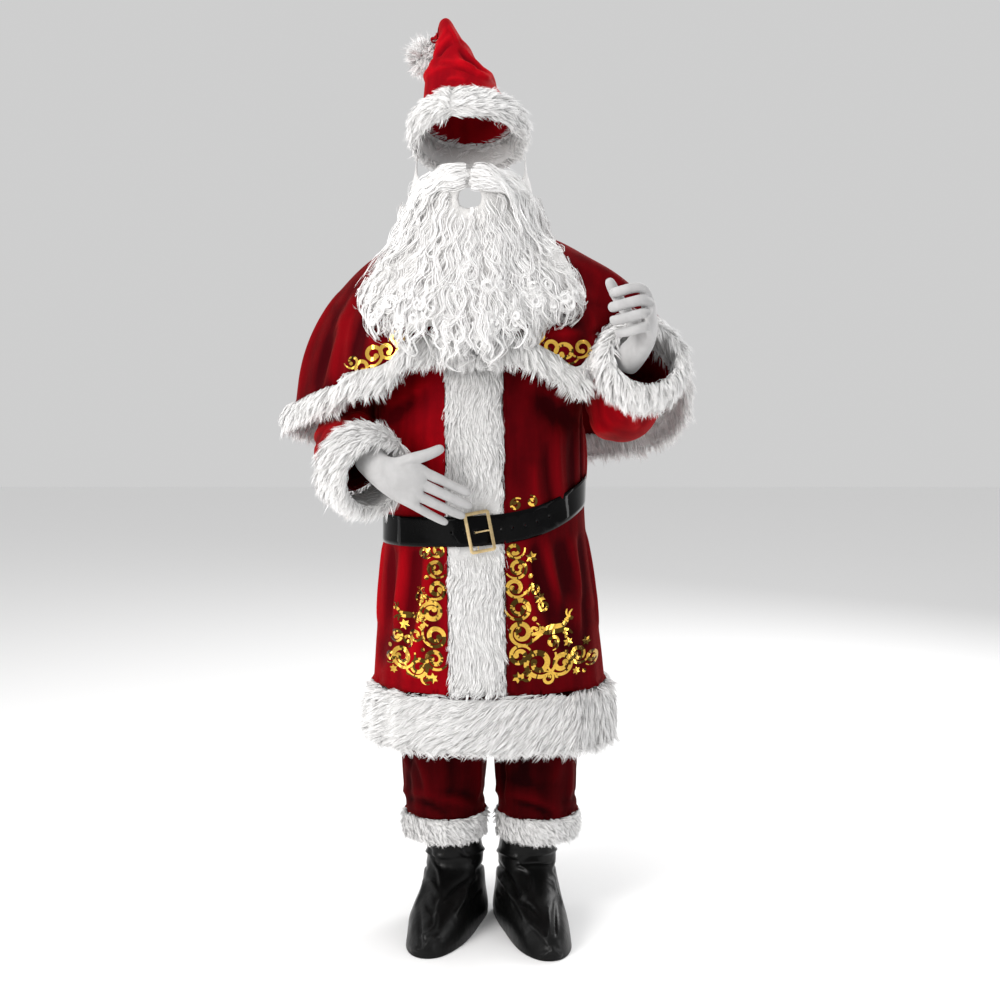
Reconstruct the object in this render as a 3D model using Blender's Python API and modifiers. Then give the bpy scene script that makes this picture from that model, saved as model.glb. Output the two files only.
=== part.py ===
"""A Santa suit as worn, with nobody in it.

Its pieces are the hat, false beard, shoulder cape, belted coat, trousers, gloves and boot covers.

Units are metres. +Z is up, the wearer faces -Y and the wearer's left is +X. Every height in the tables is
above the floor. The origin is the middle of the neck, where the wearer's shoulders hold the suit, so each
mesh is lowered by NECK_HEIGHT as it is made. Angles go round the body from the centre front: 90 degrees is
the wearer's left side, 180 the centre back and 270 the right side.
"""

import math

import bmesh
import bpy
import numpy as np
from mathutils import Vector
from mathutils.bvhtree import BVHTree

# Driving sizes
NECK_HEIGHT = 1.400  # origin above the floor
CLOTH = 0.0020  # wall of velvet, cotton and leathercloth
SEAM = 0.0006  # gap left where two pieces are sewn together
FULLNESS = 0.88  # below 1, a section is squarer than an ellipse
HEM_HEIGHT = 0.494  # where the coat's velvet ends and its fur hem begins
UNDERARM_HEIGHT = 1.170
SHOULDER_TIP = (0.186, 0.0, 1.336)
NECK_SIDE = (0.088, 0.0, 1.394)
ARMHOLE_DEPTH = 0.056  # how far the armhole swings to the front and the back
BELT_HEIGHT = 0.058

COLOURS = {  # base colour, roughness, metallic
    "velvet": ((0.42, 0.008, 0.012), 0.85, 0.0),
    "white_fur": ((0.88, 0.87, 0.86), 0.9, 0.0),
    "patent_belt": ((0.010, 0.010, 0.012), 0.15, 0.0),
    "buckle_metal": ((0.62, 0.50, 0.32), 0.3, 1.0),
    "boot_leathercloth": ((0.014, 0.014, 0.015), 0.45, 0.0),
    "glove_cotton": ((0.80, 0.79, 0.78), 0.9, 0.0),
    "beard_hair": ((0.90, 0.90, 0.90), 0.6, 0.0),
}


def clear_scene():
    for old in list(bpy.data.objects):
        bpy.data.objects.remove(old)


clear_scene()
suit = bpy.data.collections.new("santa_suit")
cutters = bpy.data.collections.new("cutters")
bpy.context.scene.collection.children.link(suit)
bpy.context.scene.collection.children.link(cutters)


def material(name):
    found = bpy.data.materials.get(name)
    if found:
        return found
    colour, roughness, metallic = COLOURS[name]
    made = bpy.data.materials.new(name)
    made.use_nodes = True
    shader = made.node_tree.nodes["Principled BSDF"]
    shader.inputs["Base Color"].default_value = (*colour, 1)
    shader.inputs["Roughness"].default_value = roughness
    shader.inputs["Metallic"].default_value = metallic
    made.diffuse_color = (*colour, 1)
    return made


# Tables and curves


def table(columns, *rows):
    """Rows of numbers under named columns, as a dictionary of arrays."""
    return dict(zip(columns.split(), np.array(rows, float).T))


def read(data, column, place):
    """A column's value at a place along the table's first column, on a smooth curve through the rows."""
    places = next(iter(data.values()))
    values = data[column]
    slopes = np.gradient(values, places)
    i = int(np.clip(np.searchsorted(places, place) - 1, 0, len(places) - 2))
    span = places[i + 1] - places[i]
    t = min(max((place - places[i]) / span, 0.0), 1.0)
    rise = values[i + 1] - values[i]
    bend = (slopes[i] * (1 - t) - slopes[i + 1] * t) * span + rise * (2 * t - 1)
    return values[i] + rise * t + t * (1 - t) * bend


def ease(t):
    """0 to 1, starting and ending level."""
    t = min(max(t, 0.0), 1.0)
    return t * t * (3 - 2 * t)


def mix(a, b, t):
    return np.asarray(a, float) * (1 - t) + np.asarray(b, float) * t


def unit(v):
    v = np.asarray(v, float)
    return v / max(np.linalg.norm(v), 1e-9)


def signed_power(value, power):
    return math.copysign(abs(value) ** power, value)


# Meshes

SKINS = {}  # each piece's outer faces, for whatever is laid over them


def add_object(name, vertices, faces, finish):
    SKINS[name] = ([tuple(v) for v in vertices], [list(f) for f in faces])
    mesh = bpy.data.meshes.new(name)
    mesh.from_pydata([(x, y, z - NECK_HEIGHT) for x, y, z in vertices], [], faces)
    mesh.validate()
    mesh.materials.append(material(finish))
    mesh.shade_smooth()
    made = bpy.data.objects.new(name, mesh)
    suit.objects.link(made)
    return made


def cloth_wall(name, grid, finish, closed_rows=(), flip=False):
    """A wall of cloth behind a grid of outer points. A closed row's last point is its first one again."""
    columns = len(grid[0])
    vertices, index = [], []
    for row, points in enumerate(grid):
        closed = closed_rows == "all" or row in closed_rows
        own = points[:-1] if closed else points
        first = len(vertices)
        vertices += [tuple(p) for p in own]
        numbers = list(range(first, first + len(own)))
        index.append(numbers + [first] if closed else numbers)
    faces = []
    for low, high in zip(index, index[1:]):
        for c in range(columns - 1):
            corners = list(dict.fromkeys((low[c], low[c + 1], high[c + 1], high[c])))
            faces.append(corners[::-1] if flip else corners)
    made = add_object(name, vertices, faces, finish)
    solidify = made.modifiers.new("cloth", "SOLIDIFY")
    solidify.thickness = CLOTH
    solidify.offset = -1
    solidify.use_even_offset = True
    solidify.thickness_clamp = 1.0
    return made


def padded_band(name, sections, finish, ring):
    """A closed band through loops of points: a ring where ring is true, and otherwise with flat ends."""
    around = len(sections[0])
    vertices = [tuple(p) for loop in sections for p in loop]
    faces = []
    last = len(sections) if ring else len(sections) - 1
    for s in range(last):
        here, there = s * around, (s + 1) % len(sections) * around
        for k in range(around):
            k2 = (k + 1) % around
            faces.append([here + k, here + k2, there + k2, there + k])
    if not ring:
        faces.append(list(range(around))[::-1])
        faces.append([(len(sections) - 1) * around + k for k in range(around)])
    made = add_object(name, vertices, faces, finish)
    outward(made)
    return made


def outward(made):
    """Turns every face of a closed mesh to point out."""
    work = bmesh.new()
    work.from_mesh(made.data)
    bmesh.ops.recalc_face_normals(work, faces=work.faces[:])
    work.to_mesh(made.data)
    work.free()
    SKINS[made.name] = (SKINS[made.name][0], [list(face.vertices) for face in made.data.polygons])


def skin_tree(*names):
    """A search tree of the outer faces of the named pieces."""
    vertices, faces = [], []
    for name in names:
        own, loops = SKINS[name]
        first = len(vertices)
        vertices += own
        faces += [[first + k for k in loop] for loop in loops]
    return BVHTree.FromPolygons(vertices, faces)


def first_hit(tree, start, way):
    """Where a ray first meets a piece: three rays a hair apart, so that none slips between two faces."""
    start, way = Vector(start), Vector(way)
    hits = [tree.ray_cast(start + Vector((0, 0, lift)), way)[0] for lift in (0.0, -0.0002, 0.0002)]
    return np.array(min((hit for hit in hits if hit), key=lambda hit: (hit - start).length))


def lay_over(grid, tree, gap, rounds=12, reach=0.10):
    """Moves a grid out until its corners, edges and middles all stand gap clear of what lies under it."""
    points = np.array(grid, float)
    rows, columns = points.shape[:2]
    for _ in range(rounds):
        push = np.zeros_like(points)
        moved = False
        for r in range(rows - 1):
            for c in range(columns - 1):
                corners = ((r, c), (r, c + 1), (r + 1, c + 1), (r + 1, c))
                for a in (0, 0.25, 0.5, 0.75, 1):
                    for b in (0, 0.25, 0.5, 0.75, 1):
                        shares = ((1 - a) * (1 - b), a * (1 - b), a * b, (1 - a) * b)
                        spot = Vector(sum(points[k] * w for k, w in zip(corners, shares)))
                        near, _, _, away = tree.find_nearest(spot, reach)
                        if near is None:
                            continue
                        faces = tree.find_nearest_range(spot, away + 1e-5)
                        normal = sum((face[1] for face in faces), Vector()).normalized()
                        inside = (spot - near).dot(normal) < 0
                        if not inside and away >= gap:
                            continue
                        line = normal if inside or away < 1e-6 else (spot - near) / away
                        shift = np.array(line * (gap * 1.02 + (away if inside else -away)))
                        moved = True
                        for corner, share in zip(corners, shares):
                            if share > 0.1 and shift @ shift > push[corner] @ push[corner]:
                                push[corner] = shift
        points += push
        if not moved:
            break
    return points


def surface_normals(points):
    """The direction straight out of a grid at each of its points."""
    normals = np.cross(np.gradient(points, axis=1), np.gradient(points, axis=0))
    return normals / np.maximum(np.linalg.norm(normals, axis=2, keepdims=True), 1e-9)


def slab(name, front, back, finish, holes):
    """A closed solid between a front grid and a back grid, pierced where holes lists (row, column) cells."""
    rows, columns = np.asarray(front).shape[:2]
    vertices = [tuple(p) for row in front for p in row] + [tuple(p) for row in back for p in row]
    behind = rows * columns
    faces, edges = [], set()
    for r in range(rows - 1):
        for c in range(columns - 1):
            if (r, c) in holes:
                continue
            first = r * columns + c
            loop = [first, first + 1, first + columns + 1, first + columns]
            faces += [loop, [k + behind for k in loop[::-1]]]
            edges |= set(zip(loop, loop[1:] + loop[:1]))
    for a, b in sorted(edges):
        if (b, a) not in edges:
            faces.append([b, a, a + behind, b + behind])
    used = sorted({k for face in faces for k in face})
    renumber = {k: i for i, k in enumerate(used)}
    made = add_object(name, [vertices[k] for k in used], [[renumber[k] for k in f] for f in faces], finish)
    outward(made)
    return made


# The fur's cross-section: how far along the band (0 to 1), and how far out (0 at the cloth, 1 at the tips)
FUR_SECTION = (
    (0.00, 0.00), (0.04, 0.55), (0.22, 0.95), (0.55, 1.0),
    (0.86, 0.80), (1.0, 0.30), (0.97, -0.12), (0.5, -0.12),
)


def fur_loop(start, along, out, width, pile):
    """One loop of a fur band that begins at start, runs along the cloth and stands out by its pile."""
    return [start + along * (width * a) + out * (pile * o) for a, o in FUR_SECTION]


# The coat. Its outer face in rings from hem to underarm, then over the shoulders.
TORSO = table(
    "height half_width front back centre_x",
    (0.370, 0.236, 0.182, 0.172, 0.024),
    (0.494, 0.227, 0.176, 0.165, 0.023),
    (0.620, 0.217, 0.172, 0.156, 0.020),
    (0.740, 0.207, 0.168, 0.146, 0.016),
    (0.820, 0.199, 0.166, 0.136, 0.013),
    (0.890, 0.204, 0.180, 0.142, 0.010),
    (1.000, 0.205, 0.178, 0.145, 0.006),
    (1.090, 0.202, 0.164, 0.144, 0.003),
    (1.170, 0.195, 0.148, 0.136, 0.000),
)
# Skirt folds below the belt: where each starts, how far round it drifts by the hem, how broad, how deep
SKIRT_FOLDS = table(
    "angle drift spread depth",
    (-74, -7, 7, 0.011),
    (-50, -10, 6, 0.012),
    (-29, -13, 5, 0.010),
    (30, 10, 5, 0.008),
    (50, 11, 6, 0.011),
    (73, 8, 7, 0.010),
    (104, 5, 7, 0.012),
    (128, 3, 7, 0.010),
    (152, 1, 7, 0.013),
    (178, 0, 7, 0.011),
    (205, -1, 7, 0.013),
    (231, -3, 7, 0.010),
    (256, -5, 7, 0.012),
)
FOLD_TOP = 0.800
PLACKET_HALF = 0.056
PLACKET = table("height centre_x", (0.37, 0.004), (0.80, -0.003), (1.34, -0.008))
COAT_HEIGHTS = (0.494, 0.570, 0.650, 0.725, 0.785, 0.850, 0.900, 0.980, 1.075, 1.170)
SHOULDER_STEPS = (0.28, 0.54, 0.78, 1.0)
FRONT_COLUMNS, BACK_COLUMNS = 9, 11
NECK_SHARE_FRONT, NECK_SHARE_BACK = 0.27, 0.34  # share of a panel's columns that end at the neckline
NECK_FRONT = (0.0, -0.100, 1.336)
NECK_BACK = (0.0, 0.080, 1.380)
UNDERARM_ROW = len(COAT_HEIGHTS) - 1
YOKE_SHARE = 0.6  # how far up the row above the underarm the back's yoke starts


def skirt_fold(angle, height):
    grown = ease((FOLD_TOP - height) / (FOLD_TOP - HEM_HEIGHT)) * 0.9 + 0.1
    if height >= FOLD_TOP:
        return 0.0
    turns = (angle - SKIRT_FOLDS["angle"] - SKIRT_FOLDS["drift"] * grown + 180) % 360 - 180
    ridges = SKIRT_FOLDS["depth"] * np.exp(-((turns / SKIRT_FOLDS["spread"]) ** 2))
    turned = abs((angle + 180) % 360 - 180)
    calm = ease((turned - 17) / 10) * ease((182 - turned) / 9)  # flat beside the placket and the back seam
    return float(ridges.sum() * grown * calm)


def torso_point(angle, height, out=0.0):
    """A point on the coat's outer face, or out metres outside it."""
    s, c = math.sin(math.radians(angle)), math.cos(math.radians(angle))
    out += skirt_fold(angle, height)
    depth = read(TORSO, "front" if c > 0 else "back", height) + out
    half_width = read(TORSO, "half_width", height) + out
    x = read(TORSO, "centre_x", height) + half_width * signed_power(s, FULLNESS)
    return np.array((x, -depth * signed_power(c, FULLNESS), height))


def placket_edge_angle(height, side):
    """The angle at which the coat's face meets the placket's edge on that side."""
    edge = read(PLACKET, "centre_x", height) + side * (PLACKET_HALF + SEAM)
    share = (edge - read(TORSO, "centre_x", height)) / read(TORSO, "half_width", height)
    return math.degrees(math.asin(signed_power(share, 1 / FULLNESS)))


def armhole(side, turn):
    """The armhole's edge: turn 0 is under the arm, 90 the front, 180 the shoulder's tip."""
    t = turn / 180 if turn <= 180 else (360 - turn) / 180
    swing = -ARMHOLE_DEPTH if turn <= 180 else ARMHOLE_DEPTH
    low = read(TORSO, "half_width", UNDERARM_HEIGHT)
    x = mix(low, SHOULDER_TIP[0], t)
    z = UNDERARM_HEIGHT + (SHOULDER_TIP[2] - UNDERARM_HEIGHT) * math.sin(t * math.pi / 2)
    return np.array((side * x, swing * math.sin(t * math.pi), z))


def over_shoulder(low, top, t):
    """Straight up from the chest, then level as it reaches the top."""
    x, y, z = low
    rise, lean = math.sin(t * math.pi / 2), 1 - math.cos(t * math.pi / 2)
    bulge = ARMHOLE_DEPTH * math.sin(t * math.pi) * max(0.0, 1 - abs(y) / 0.11)
    toward = -1 if top[3] < 0 else 1
    return np.array((x + (top[0] - x) * t, y + (top[1] - y) * lean + toward * bulge, z + (top[2] - z) * rise))


def panel_top(share, side, face):
    """Where a column ends: on the neckline, then along the shoulder seam. face is -1 in front, 1 behind."""
    neck = NECK_FRONT if face < 0 else NECK_BACK
    split = NECK_SHARE_FRONT if face < 0 else NECK_SHARE_BACK
    inner = PLACKET_HALF + SEAM if face < 0 else 0.0
    if share <= split:
        turn = share / split * math.pi / 2
        x = inner + (NECK_SIDE[0] - inner) * math.sin(turn)
        y = neck[1] * math.cos(turn)
        z = NECK_SIDE[2] + (neck[2] - NECK_SIDE[2]) * math.cos(turn)
        lean = read(PLACKET, "centre_x", 1.34) * math.cos(turn) if face < 0 else 0.0
        return (side * x + lean, y + face * SEAM, z, face)
    along = (share - split) / (1 - split)
    x, y, z = mix(NECK_SIDE, SHOULDER_TIP, along)
    return (side * x, y + face * SEAM, z, face)


def front_point(side, share, level):
    """A point of a front panel: share 0 at the placket and 1 at the side seam."""
    height = min(level, UNDERARM_HEIGHT)
    start = placket_edge_angle(height, side)
    angle = start + (side * 90 - start) * share
    low = torso_point(angle, height)
    low[1] -= SEAM * 0.5 * share ** 8
    if level <= UNDERARM_HEIGHT:
        return low
    return over_shoulder(low, panel_top(share, side, -1), level - UNDERARM_HEIGHT)


def back_point(side, share, level):
    """A point of a back panel: share 0 at the seam down the centre and 1 at the side seam."""
    low = torso_point(180 - side * 90 * share, min(level, UNDERARM_HEIGHT))
    low[1] += SEAM * 0.5 * share ** 8
    if level > UNDERARM_HEIGHT:
        low = over_shoulder(low, panel_top(share, side, 1), level - UNDERARM_HEIGHT)
    low[0] += side * SEAM * 0.5 * (1 - share) ** 8
    return low


COAT_LEVELS = COAT_HEIGHTS + tuple(UNDERARM_HEIGHT + step for step in SHOULDER_STEPS)


def make_coat():
    for side, word in ((1, "left"), (-1, "right")):
        shares = np.linspace(0, 1, FRONT_COLUMNS + 1)
        grid = [[front_point(side, share, level) for share in shares] for level in COAT_LEVELS]
        cloth_wall(f"coat_front_{word}", grid, "velvet", flip=side < 0)
        shares = np.linspace(0, 1, BACK_COLUMNS + 1)
        grid = [[back_point(side, share, level) for share in shares] for level in COAT_LEVELS]
        low, high = np.array(grid[UNDERARM_ROW]), np.array(grid[UNDERARM_ROW + 1])
        rise = (high - low) / np.linalg.norm(high - low, axis=1)[:, None] * SEAM / 2
        seam = low + (high - low) * YOKE_SHARE
        cloth_wall(f"coat_back_{word}", grid[:UNDERARM_ROW + 1] + [seam - rise], "velvet", flip=side > 0)
        cloth_wall(f"coat_yoke_{word}", [seam + rise] + grid[UNDERARM_ROW + 1:], "velvet", flip=side > 0)
        edges = [tuple(p) for pair in zip(seam - rise, seam + rise) for p in pair]
        strips = [[k, k + 2, k + 3, k + 1][::-side] for k in range(0, len(edges) - 2, 2)]
        SKINS[f"yoke_seam_{word}"] = (edges, strips)  # bridges a seam, for what is laid over it
    edges = [tuple(back_point(side, 0, level)) for level in COAT_LEVELS for side in (-1, 1)]
    strips = [[k + 1, k, k + 2, k + 3] for k in range(0, len(edges) - 2, 2)]
    SKINS["back_seam"] = (edges, strips)


# The fur placket down the centre front, pressed thin under the belt and under the cape.
PLACKET_PILE = table(
    "height pile",
    (0.494, 0.018),
    (0.640, 0.019),
    (0.735, 0.014),
    (0.770, 0.0032),
    (0.820, 0.0030),
    (0.866, 0.0032),
    (0.905, 0.015),
    (1.000, 0.019),
    (1.100, 0.017),
    (1.150, 0.005),
    (1.500, 0.004),
)
PLACKET_LEVELS = (
    0.497, 0.56, 0.64, 0.71, 0.752, 0.772, 0.866, 0.888, 0.93,
    1.0, 1.07, 1.12, 1.170, 1.45, 1.71, 1.95, 2.17,
)
PLACKET_ACROSS = (
    (0.0, 0.0), (0.03, 0.62), (0.22, 0.95), (0.5, 1.0),
    (0.78, 0.95), (0.97, 0.62), (1.0, 0.0), (0.5, -0.08),
)


def make_placket():
    sections = []
    for level in PLACKET_LEVELS:
        right, left = front_point(-1, 0, level), front_point(1, 0, level)
        right, left = right + (SEAM * 2, 0, 0), left - (SEAM * 2, 0, 0)
        pile = read(PLACKET_PILE, "pile", min(level, 1.5))
        loop = []
        for across, out in PLACKET_ACROSS:
            point = mix(right, left, across)
            point[1] -= pile * out + 0.003 * math.sin(across * math.pi)
            loop.append(point)
        sections.append(loop)
    padded_band("coat_placket_fur", sections, "white_fur", ring=False)


# The fur hem hangs on from the coat's edge.
HEM_BOTTOM = 0.380
HEM_PILE = 0.017
HEM_COLUMNS = 36


def make_hem():
    sections = []
    for k in range(HEM_COLUMNS):
        angle = 360 * k / HEM_COLUMNS
        top, low = torso_point(angle, HEM_HEIGHT - SEAM * 2), torso_point(angle, HEM_BOTTOM)
        out = unit((low[0] - read(TORSO, "centre_x", HEM_BOTTOM), low[1], 0))
        sections.append(fur_loop(top, unit(low - top), out, np.linalg.norm(low - top), HEM_PILE))
    padded_band("coat_hem_fur", sections, "white_fur", ring=True)


# The sleeves: a cap from the armhole to a ring round the upper arm, then along the arm to the fur cuff.
# Each table gives the middle of the arm; its last row is the cuff's far end.
ARMS = {
    "left": table(
        "place x y height radius",
        (0, 0.251, -0.010, 1.148, 0.065),
        (1, 0.262, -0.012, 1.090, 0.067),
        (2, 0.275, -0.030, 1.046, 0.069),
        (3, 0.285, -0.075, 1.037, 0.068),
        (4, 0.292, -0.120, 1.060, 0.066),
        (5, 0.298, -0.157, 1.086, 0.064),
        (6, 0.303, -0.187, 1.108, 0.062),
        (7, 0.310, -0.268, 1.152, 0.062),
    ),
    "right": table(
        "place x y height radius",
        (0, -0.246, 0.006, 1.130, 0.064),
        (1, -0.252, 0.008, 1.065, 0.065),
        (2, -0.256, -0.006, 1.003, 0.067),
        (3, -0.257, -0.050, 0.968, 0.066),
        (4, -0.257, -0.095, 0.958, 0.065),
        (5, -0.252, -0.142, 0.952, 0.064),
        (6, -0.237, -0.184, 0.946, 0.062),
        (7, -0.182, -0.252, 0.922, 0.062),
    ),
}
# Folds pressed into the inner bend of each sleeve: where along the arm, turn round it, how long, how deep
SLEEVE_FOLDS = table(
    "place turn spread depth",
    (1.5, 60, 50, 0.006),
    (2.2, 95, 60, 0.010),
    (2.9, 120, 50, 0.008),
    (3.7, 80, 60, 0.006),
    (4.7, 210, 70, 0.004),
)
SLEEVE_COLUMNS = 16
SLEEVE_PLACES = (0, 0.8, 1.4, 1.8, 2.2, 2.6, 3.1, 3.8, 4.8)
CUFF_LENGTH, CUFF_PILE = 0.090, 0.024
CAP_STEPS = (0.3, 0.62)


def clear_of_torso(point, gap):
    """Moves a point that lies within gap of the coat's smooth form straight out of it."""
    x, y, z = point
    if z > UNDERARM_HEIGHT + 0.02:
        return point
    centre_x = read(TORSO, "centre_x", z)
    angle = math.atan2(x - centre_x, -y)
    s, c = math.sin(angle), math.cos(angle)
    half, depth = read(TORSO, "half_width", z), read(TORSO, "front" if c > 0 else "back", z)
    power = 2 / FULLNESS
    reach = (abs(s / half) ** power + abs(c / depth) ** power) ** (-1 / power)
    if math.hypot(x - centre_x, y) >= reach + gap:
        return point
    return np.array((centre_x + s * (reach + gap), -c * (reach + gap), z))


def arm_centre(arm, place):
    return np.array([read(arm, key, place) for key in ("x", "y", "height")])


def arm_ring(arm, place, side, folds=True):
    """A ring round the arm. Turn 0 faces the body and 90 the front, or the top of the bent forearm."""
    centre = arm_centre(arm, place)
    way = unit(arm_centre(arm, min(place + 0.05, 7)) - arm_centre(arm, max(place - 0.05, 0)))
    inner = np.array((-side, 0.0, 0.0))
    inner = unit(inner - way * (inner @ way))
    front = np.cross(inner, way) * side
    points = []
    for k in range(SLEEVE_COLUMNS + 1):
        turn = 360 * k / SLEEVE_COLUMNS
        away = (turn - SLEEVE_FOLDS["turn"] + 180) % 360 - 180
        near = (place - SLEEVE_FOLDS["place"]) / 0.28
        crease = SLEEVE_FOLDS["depth"] * np.exp(-near ** 2 - (away / SLEEVE_FOLDS["spread"]) ** 2)
        radius = read(arm, "radius", place) - (float(crease.sum()) if folds else 0.0)
        s, c = math.sin(math.radians(turn)), math.cos(math.radians(turn))
        points.append(centre + inner * (radius * c) + front * (radius * s))
    return points


def make_sleeve(name, arm, side):
    upper = [clear_of_torso(p, 0.0055) for p in arm_ring(arm, 0, side)]
    apart = np.array((side * SEAM * 1.5, 0, 0))
    start = [armhole(side, 360 * k / SLEEVE_COLUMNS) + apart for k in range(SLEEVE_COLUMNS + 1)]
    grid = [start]
    for t in CAP_STEPS:
        row = []
        for k, (low, end) in enumerate(zip(start, upper)):
            lift = 0.012 + 0.058 * ease(min(k, SLEEVE_COLUMNS - k) * 2 / SLEEVE_COLUMNS)
            middle = low + (side * lift, 0, 0)
            row.append(clear_of_torso(low * (1 - t) ** 2 + middle * (2 * t * (1 - t)) + end * t * t, 0.005))
        grid.append(row)
    grid.append(upper)
    for place in SLEEVE_PLACES[1:] + (6,):
        grid.append([clear_of_torso(p, 0.0055) for p in arm_ring(arm, place, side, folds=place < 6)])
    cloth_wall(name, grid, "velvet", closed_rows="all", flip=side > 0)


def make_cuff(name, arm, side):
    """The fur cuff runs on from the sleeve's end as a thick ring."""
    start, end = arm_centre(arm, 6), arm_centre(arm, 7)
    way = unit(end - start)
    sections = []
    for point in arm_ring(arm, 6, side, folds=False)[:-1]:
        out = unit(point - start)
        out = unit(out - way * (out @ way))
        sections.append(fur_loop(point + way * SEAM, way, out, CUFF_LENGTH, CUFF_PILE))
    padded_band(name, sections, "white_fur", ring=True)


def make_sleeves():
    for word, side in (("left", 1), ("right", -1)):
        make_sleeve(f"sleeve_{word}", ARMS[word], side)
        make_cuff(f"cuff_fur_{word}", ARMS[word], side)


make_coat()
make_placket()
make_hem()
make_sleeves()


# The shoulder cape. Its velvet's edge, from the right front round the back to the left front.
CAPE_EDGE = table(
    "place neck_angle x y height",
    (0, -30, -0.048, -0.190, 1.184),
    (1, -37, -0.092, -0.197, 1.182),
    (2, -44, -0.134, -0.200, 1.172),
    (3, -49, -0.155, -0.196, 1.142),
    (4, -55, -0.190, -0.190, 1.122),
    (5, -61, -0.238, -0.176, 1.116),
    (6, -67, -0.255, -0.128, 1.092),
    (7, -74, -0.292, -0.112, 1.082),
    (8, -84, -0.333, -0.052, 1.060),
    (9, -95, -0.372, 0.012, 1.044),
    (10, -107, -0.360, 0.080, 1.034),
    (11, -120, -0.345, 0.140, 1.014),
    (12, -133, -0.270, 0.168, 0.992),
    (13, -147, -0.210, 0.212, 0.980),
    (14, -160, -0.135, 0.196, 0.974),
    (15, -173, -0.060, 0.226, 0.970),
    (16, -187, 0.010, 0.204, 0.968),
    (17, -200, 0.078, 0.232, 0.968),
    (18, -213, 0.148, 0.198, 0.970),
    (19, -226, 0.215, 0.206, 0.974),
    (20, -239, 0.275, 0.160, 0.980),
    (21, -251, 0.345, 0.130, 0.996),
    (22, -261, 0.392, 0.060, 1.034),
    (23, -269, 0.400, -0.018, 1.098),
    (24, -277, 0.378, -0.062, 1.172),
    (25, -285, 0.334, -0.088, 1.226),
    (26, -293, 0.288, -0.094, 1.230),
    (27, -300, 0.234, -0.122, 1.196),
    (28, -306, 0.207, -0.178, 1.136),
    (29, -312, 0.184, -0.190, 1.120),
    (30, -318, 0.152, -0.186, 1.150),
    (31, -323, 0.128, -0.192, 1.158),
    (32, -327, 0.098, -0.194, 1.180),
    (33, -331, 0.046, -0.190, 1.184),
)
CAPE_STEPS = 44
CAPE_ROWS = 8
CAPE_TRIM = 0.048  # breadth of the cape's fur
CAPE_PILE = 0.020


def cape_neck(angle):
    s, c = math.sin(math.radians(angle)), math.cos(math.radians(angle))
    depth, height = (0.132, 1.360) if c > 0 else (0.088, 1.382)
    return np.array((0.097 * s, -depth * c, 1.398 + (height - 1.398) * c * c))


def cape_meridian(place, rows):
    """From the neck, out along the shoulder, and down to the cape's edge."""
    edge = np.array([read(CAPE_EDGE, key, place) for key in ("x", "y", "height")])
    start = cape_neck(read(CAPE_EDGE, "neck_angle", place))
    flat = np.array((edge[0] - start[0], edge[1] - start[1], 0.0))
    run = float(np.linalg.norm(flat))
    out = flat / max(run, 1e-6)
    drop = start[2] - edge[2]
    length = math.hypot(run, drop)
    shoulder = start + out * min(run * 0.85, length * 0.42) - np.array((0, 0, 0.20 * length))
    fall = edge + np.array((0, 0, drop * 0.42)) - out * run * 0.06
    points = []
    for k in range(rows):
        t = k / (rows - 1)
        shares = ((1 - t) ** 3, 3 * t * (1 - t) ** 2, 3 * t * t * (1 - t), t ** 3)
        points.append(sum(p * share for p, share in zip((start, shoulder, fall, edge), shares)))
    return points


def make_cape():
    places = np.linspace(0, 33, CAPE_STEPS + 1)
    grid = np.array([cape_meridian(place, CAPE_ROWS) for place in places]).transpose(1, 0, 2)
    under = skin_tree(
        "coat_front_left", "coat_front_right", "coat_back_left", "coat_back_right", "back_seam",
        "coat_yoke_left", "coat_yoke_right", "yoke_seam_left", "yoke_seam_right",
        "coat_placket_fur", "sleeve_left", "sleeve_right", "cuff_fur_left", "cuff_fur_right",
    )
    grid = lay_over(grid, under, CLOTH + 0.0017)
    cloth_wall("cape", grid, "velvet")

    # The fur runs on from the cloth's edge: down one front, round the hem and up the other front
    centre = read(PLACKET, "centre_x", 1.2)
    inner, middle, outer = [], [], []

    def add(at, away):
        start = at + away * (SEAM * 2.0 / max(np.linalg.norm(away), 1e-9))
        inner.append(start)
        middle.append(start + away * 0.5)
        outer.append(start + away)

    def front_edge(column, side, rows):
        for r in rows:
            at = grid[r][column]
            gap = abs(at[0] - centre) - SEAM * 3
            add(at, np.array((-side * min(CAPE_TRIM, gap), -0.004, 0.0)))

    rows = range(1, CAPE_ROWS)
    front_edge(0, -1, rows)
    for column in range(CAPE_STEPS + 1):
        at = grid[-1][column]
        way = unit(grid[-1][column] - grid[-2][column])
        if column in (0, CAPE_STEPS):
            side = -1 if column == 0 else 1
            gap = abs(at[0] - centre) - SEAM * 3
            add(at, np.array((-side * min(CAPE_TRIM, gap), -0.004, 0.0)) + way * CAPE_TRIM)
        add(at, way * CAPE_TRIM)
    front_edge(CAPE_STEPS, 1, reversed(rows))
    strip = lay_over([inner, middle, outer], under, 0.0022)
    strip[0] = inner
    outs = surface_normals(strip)
    sections = []
    for k in range(strip.shape[1]):
        a, m, b = strip[:, k]
        na, nm, nb = outs[:, k]
        sections.append([
            a + na * CAPE_PILE * 0.1, a + na * CAPE_PILE * 0.75,
            m + nm * CAPE_PILE, b + nb * CAPE_PILE * 0.85,
            b + nb * CAPE_PILE * 0.1 + (b - m) * 0.12, b - nb * 0.0012,
            m - nm * 0.0012, a - na * 0.0012,
        ])
    padded_band("cape_fur", sections, "white_fur", ring=False)


make_cape()


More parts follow.
